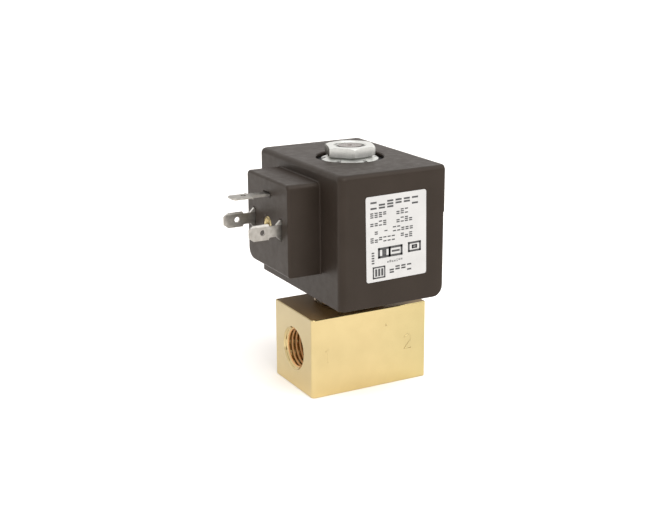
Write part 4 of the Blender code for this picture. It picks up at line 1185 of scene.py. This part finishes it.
def make_spring():
    """The spring only shortens, so it is a mesh that squashes with the plunger's slide."""
    low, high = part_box("plunger_spring")
    bottom, top = low.z + SPRING_WIRE_RADIUS, high.z - SPRING_WIRE_RADIUS
    count = int(SPRING_TURNS * SPRING_STEPS)
    points = []
    for step in range(count + 1):
        angle = step / SPRING_STEPS * tau
        height = bottom + (top - bottom) * step / count
        points.append(polar(angle, SPRING_RADIUS, height))
    spring = show(tube("return_spring", points, SPRING_WIRE_RADIUS, UP), "plunger_spring")
    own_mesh(spring)


def make_label():
    half_width, half_height = LABEL_SIZE[0] / 2, LABEL_SIZE[1] / 2
    outline = rounded_outline((-half_width, half_width), (-half_height, half_height), (LABEL_CORNER,) * 4)
    rings = [[LABEL_PLACE @ Vector((x, y, z)) for x, z in outline] for y in LABEL_Y]
    show(loft("label", rings), "rating_label")


def greeked_word(left, low, count, pitch, height, chance):
    """count abstract characters as bars, two or three for each: (left, low, right, high)."""
    bars = []
    stroke = height * GREEK_STROKE
    levels = [low, low + (height - stroke) / 2, low + height - stroke]
    for index in range(count):
        start = left + index * pitch
        for level in chance.choice([(0, 1, 2), (0, 2), (0, 1), (1, 2)]):
            bars.append((start, levels[level], start + pitch * GREEK_WIDTH, levels[level] + stroke))
    return bars


def frame_bars(left, low, right, high, line):
    """The four sides of a square outline."""
    line_high = line * LABEL_SIZE[0] / LABEL_SIZE[1]
    return [
        (left, low, right, low + line_high),
        (left, high - line_high, right, high),
        (left, low, left + line, high),
        (right - line, low, right, high),
    ]


def print_bars():
    """Bars, squares and words that can't be read, laid out as a rating plate's print."""
    chance = random.Random(PRINT_SEED)
    bars = list(PRINT_BARS)
    for sides in PRINT_FRAMES:
        bars += frame_bars(*sides)
    for word in PRINT_WORDS:
        bars += greeked_word(*word, chance)
    return bars


def make_label_print():
    """Every bar is a thin block on the film."""
    width, height = LABEL_SIZE
    bm = bmesh.new()
    depth, y = LABEL_Y[1] - PRINT_Y, (LABEL_Y[1] + PRINT_Y) / 2
    for left, low, right, high in print_bars():
        size = Vector(((right - left) * width, depth, (high - low) * height))
        middle = Vector(((left + right - 1) * width / 2, y, (low + high - 1) * height / 2))
        bar = Matrix.Translation(middle) @ Matrix.Diagonal((*size, 1))
        bmesh.ops.create_cube(bm, size=1.0, matrix=LABEL_PLACE @ bar)
    made = new_object("label_print", bm)
    made.data.materials.append(label_ink("label_ink").material)
    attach(made, NODES["rating_label"]["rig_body"])


def paint_cad_nodes():
    """The inner pieces keep their CAD shape and take the finish of their slot."""
    for name, obj in NODES.items():
        if not obj.hide_render:
            paint(obj, finishes[SLOT_OF[name]])


# Stage


def make_floor():
    bm = bmesh.new()
    bmesh.ops.create_grid(bm, x_segments=1, y_segments=1, size=FLOOR_HALF)
    floor = new_object("floor", bm)
    made = Finish("floor_paper")
    made.colour(made.grain((60 * MM,) * 3), (0.3, (0.96, 0.935, 0.91)), (0.7, (0.975, 0.95, 0.925)))
    set_inputs(made.shader, Roughness=0.9, Specular_IOR_Level=0.1)
    floor.data.materials.append(made.material)
    floor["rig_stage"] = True


def make_surroundings():
    """A white studio tent, a little dimmer low down. The camera sees plain white past the floor's edge."""
    world = bpy.data.worlds.new("studio")
    bpy.context.scene.world = world
    world.use_nodes = True
    nodes, link = world.node_tree.nodes, world.node_tree.links.new
    tent = nodes["Background"]
    direction = nodes.new("ShaderNodeTexCoord")
    parts = nodes.new("ShaderNodeSeparateXYZ")
    ramp = nodes.new("ShaderNodeValToRGB")
    for element, colour in zip(ramp.color_ramp.elements, (TENT_LOW, WHITE)):
        element.color = colour
    tent.inputs["Strength"].default_value = TENT_BRIGHTNESS
    link(direction.outputs["Generated"], parts.inputs[0])
    link(parts.outputs["Z"], ramp.inputs["Fac"])
    link(ramp.outputs["Color"], tent.inputs["Color"])
    backdrop = nodes.new("ShaderNodeBackground")
    path = nodes.new("ShaderNodeLightPath")
    mix = nodes.new("ShaderNodeMixShader")
    link(path.outputs["Is Camera Ray"], mix.inputs[0])
    link(tent.outputs[0], mix.inputs[1])
    link(backdrop.outputs[0], mix.inputs[2])
    link(mix.outputs[0], nodes["World Output"].inputs["Surface"])
    backdrop.inputs["Color"].default_value = WHITE


def make_softbox():
    data = bpy.data.lights.new("softbox", "AREA")
    data.shape = "SQUARE"
    data.size = SOFTBOX_SIZE
    data.energy = SOFTBOX_WATTS
    light = put_in_scene("softbox", data)
    light.location = SOFTBOX_PLACE
    light.rotation_mode = "QUATERNION"
    light.rotation_quaternion = (-SOFTBOX_PLACE).to_track_quat("-Z", "Y")


def make_camera():
    """At the photograph's viewing angle."""
    data = bpy.data.cameras.new("camera")
    data.lens = CAMERA_LENS
    data.sensor_width = CAMERA_SENSOR
    data.clip_start, data.clip_end = CAMERA_CLIP
    camera = put_in_scene("camera", data)
    level = cos(CAMERA_ELEVATION)
    across, away = sin(CAMERA_AZIMUTH) * level, cos(CAMERA_AZIMUTH) * level
    back = Vector((-across, -away, sin(CAMERA_ELEVATION)))
    facing = (-back).to_track_quat("-Z", "Y").to_matrix().to_4x4()
    camera.matrix_world = Matrix.Translation(CAMERA_PLACE) @ facing @ Matrix.Rotation(CAMERA_ROLL, 4, "Z")
    bpy.context.scene.camera = camera


def write_size():
    boxes = {"cad": cad_box, "visual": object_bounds()}
    {name: [list(corner) for corner in box] for name, box in boxes.items()}


finishes = make_finishes()
make_valve_body()
make_gland()
make_fixed_core()
make_spring()
make_housing()
make_terminals()
make_insert()
make_label()
make_label_print()
make_washer()
make_nut()
paint_cad_nodes()
make_floor()
make_surroundings()
make_softbox()
make_camera()
bpy.context.scene.view_settings.view_transform = "Standard"
write_size()
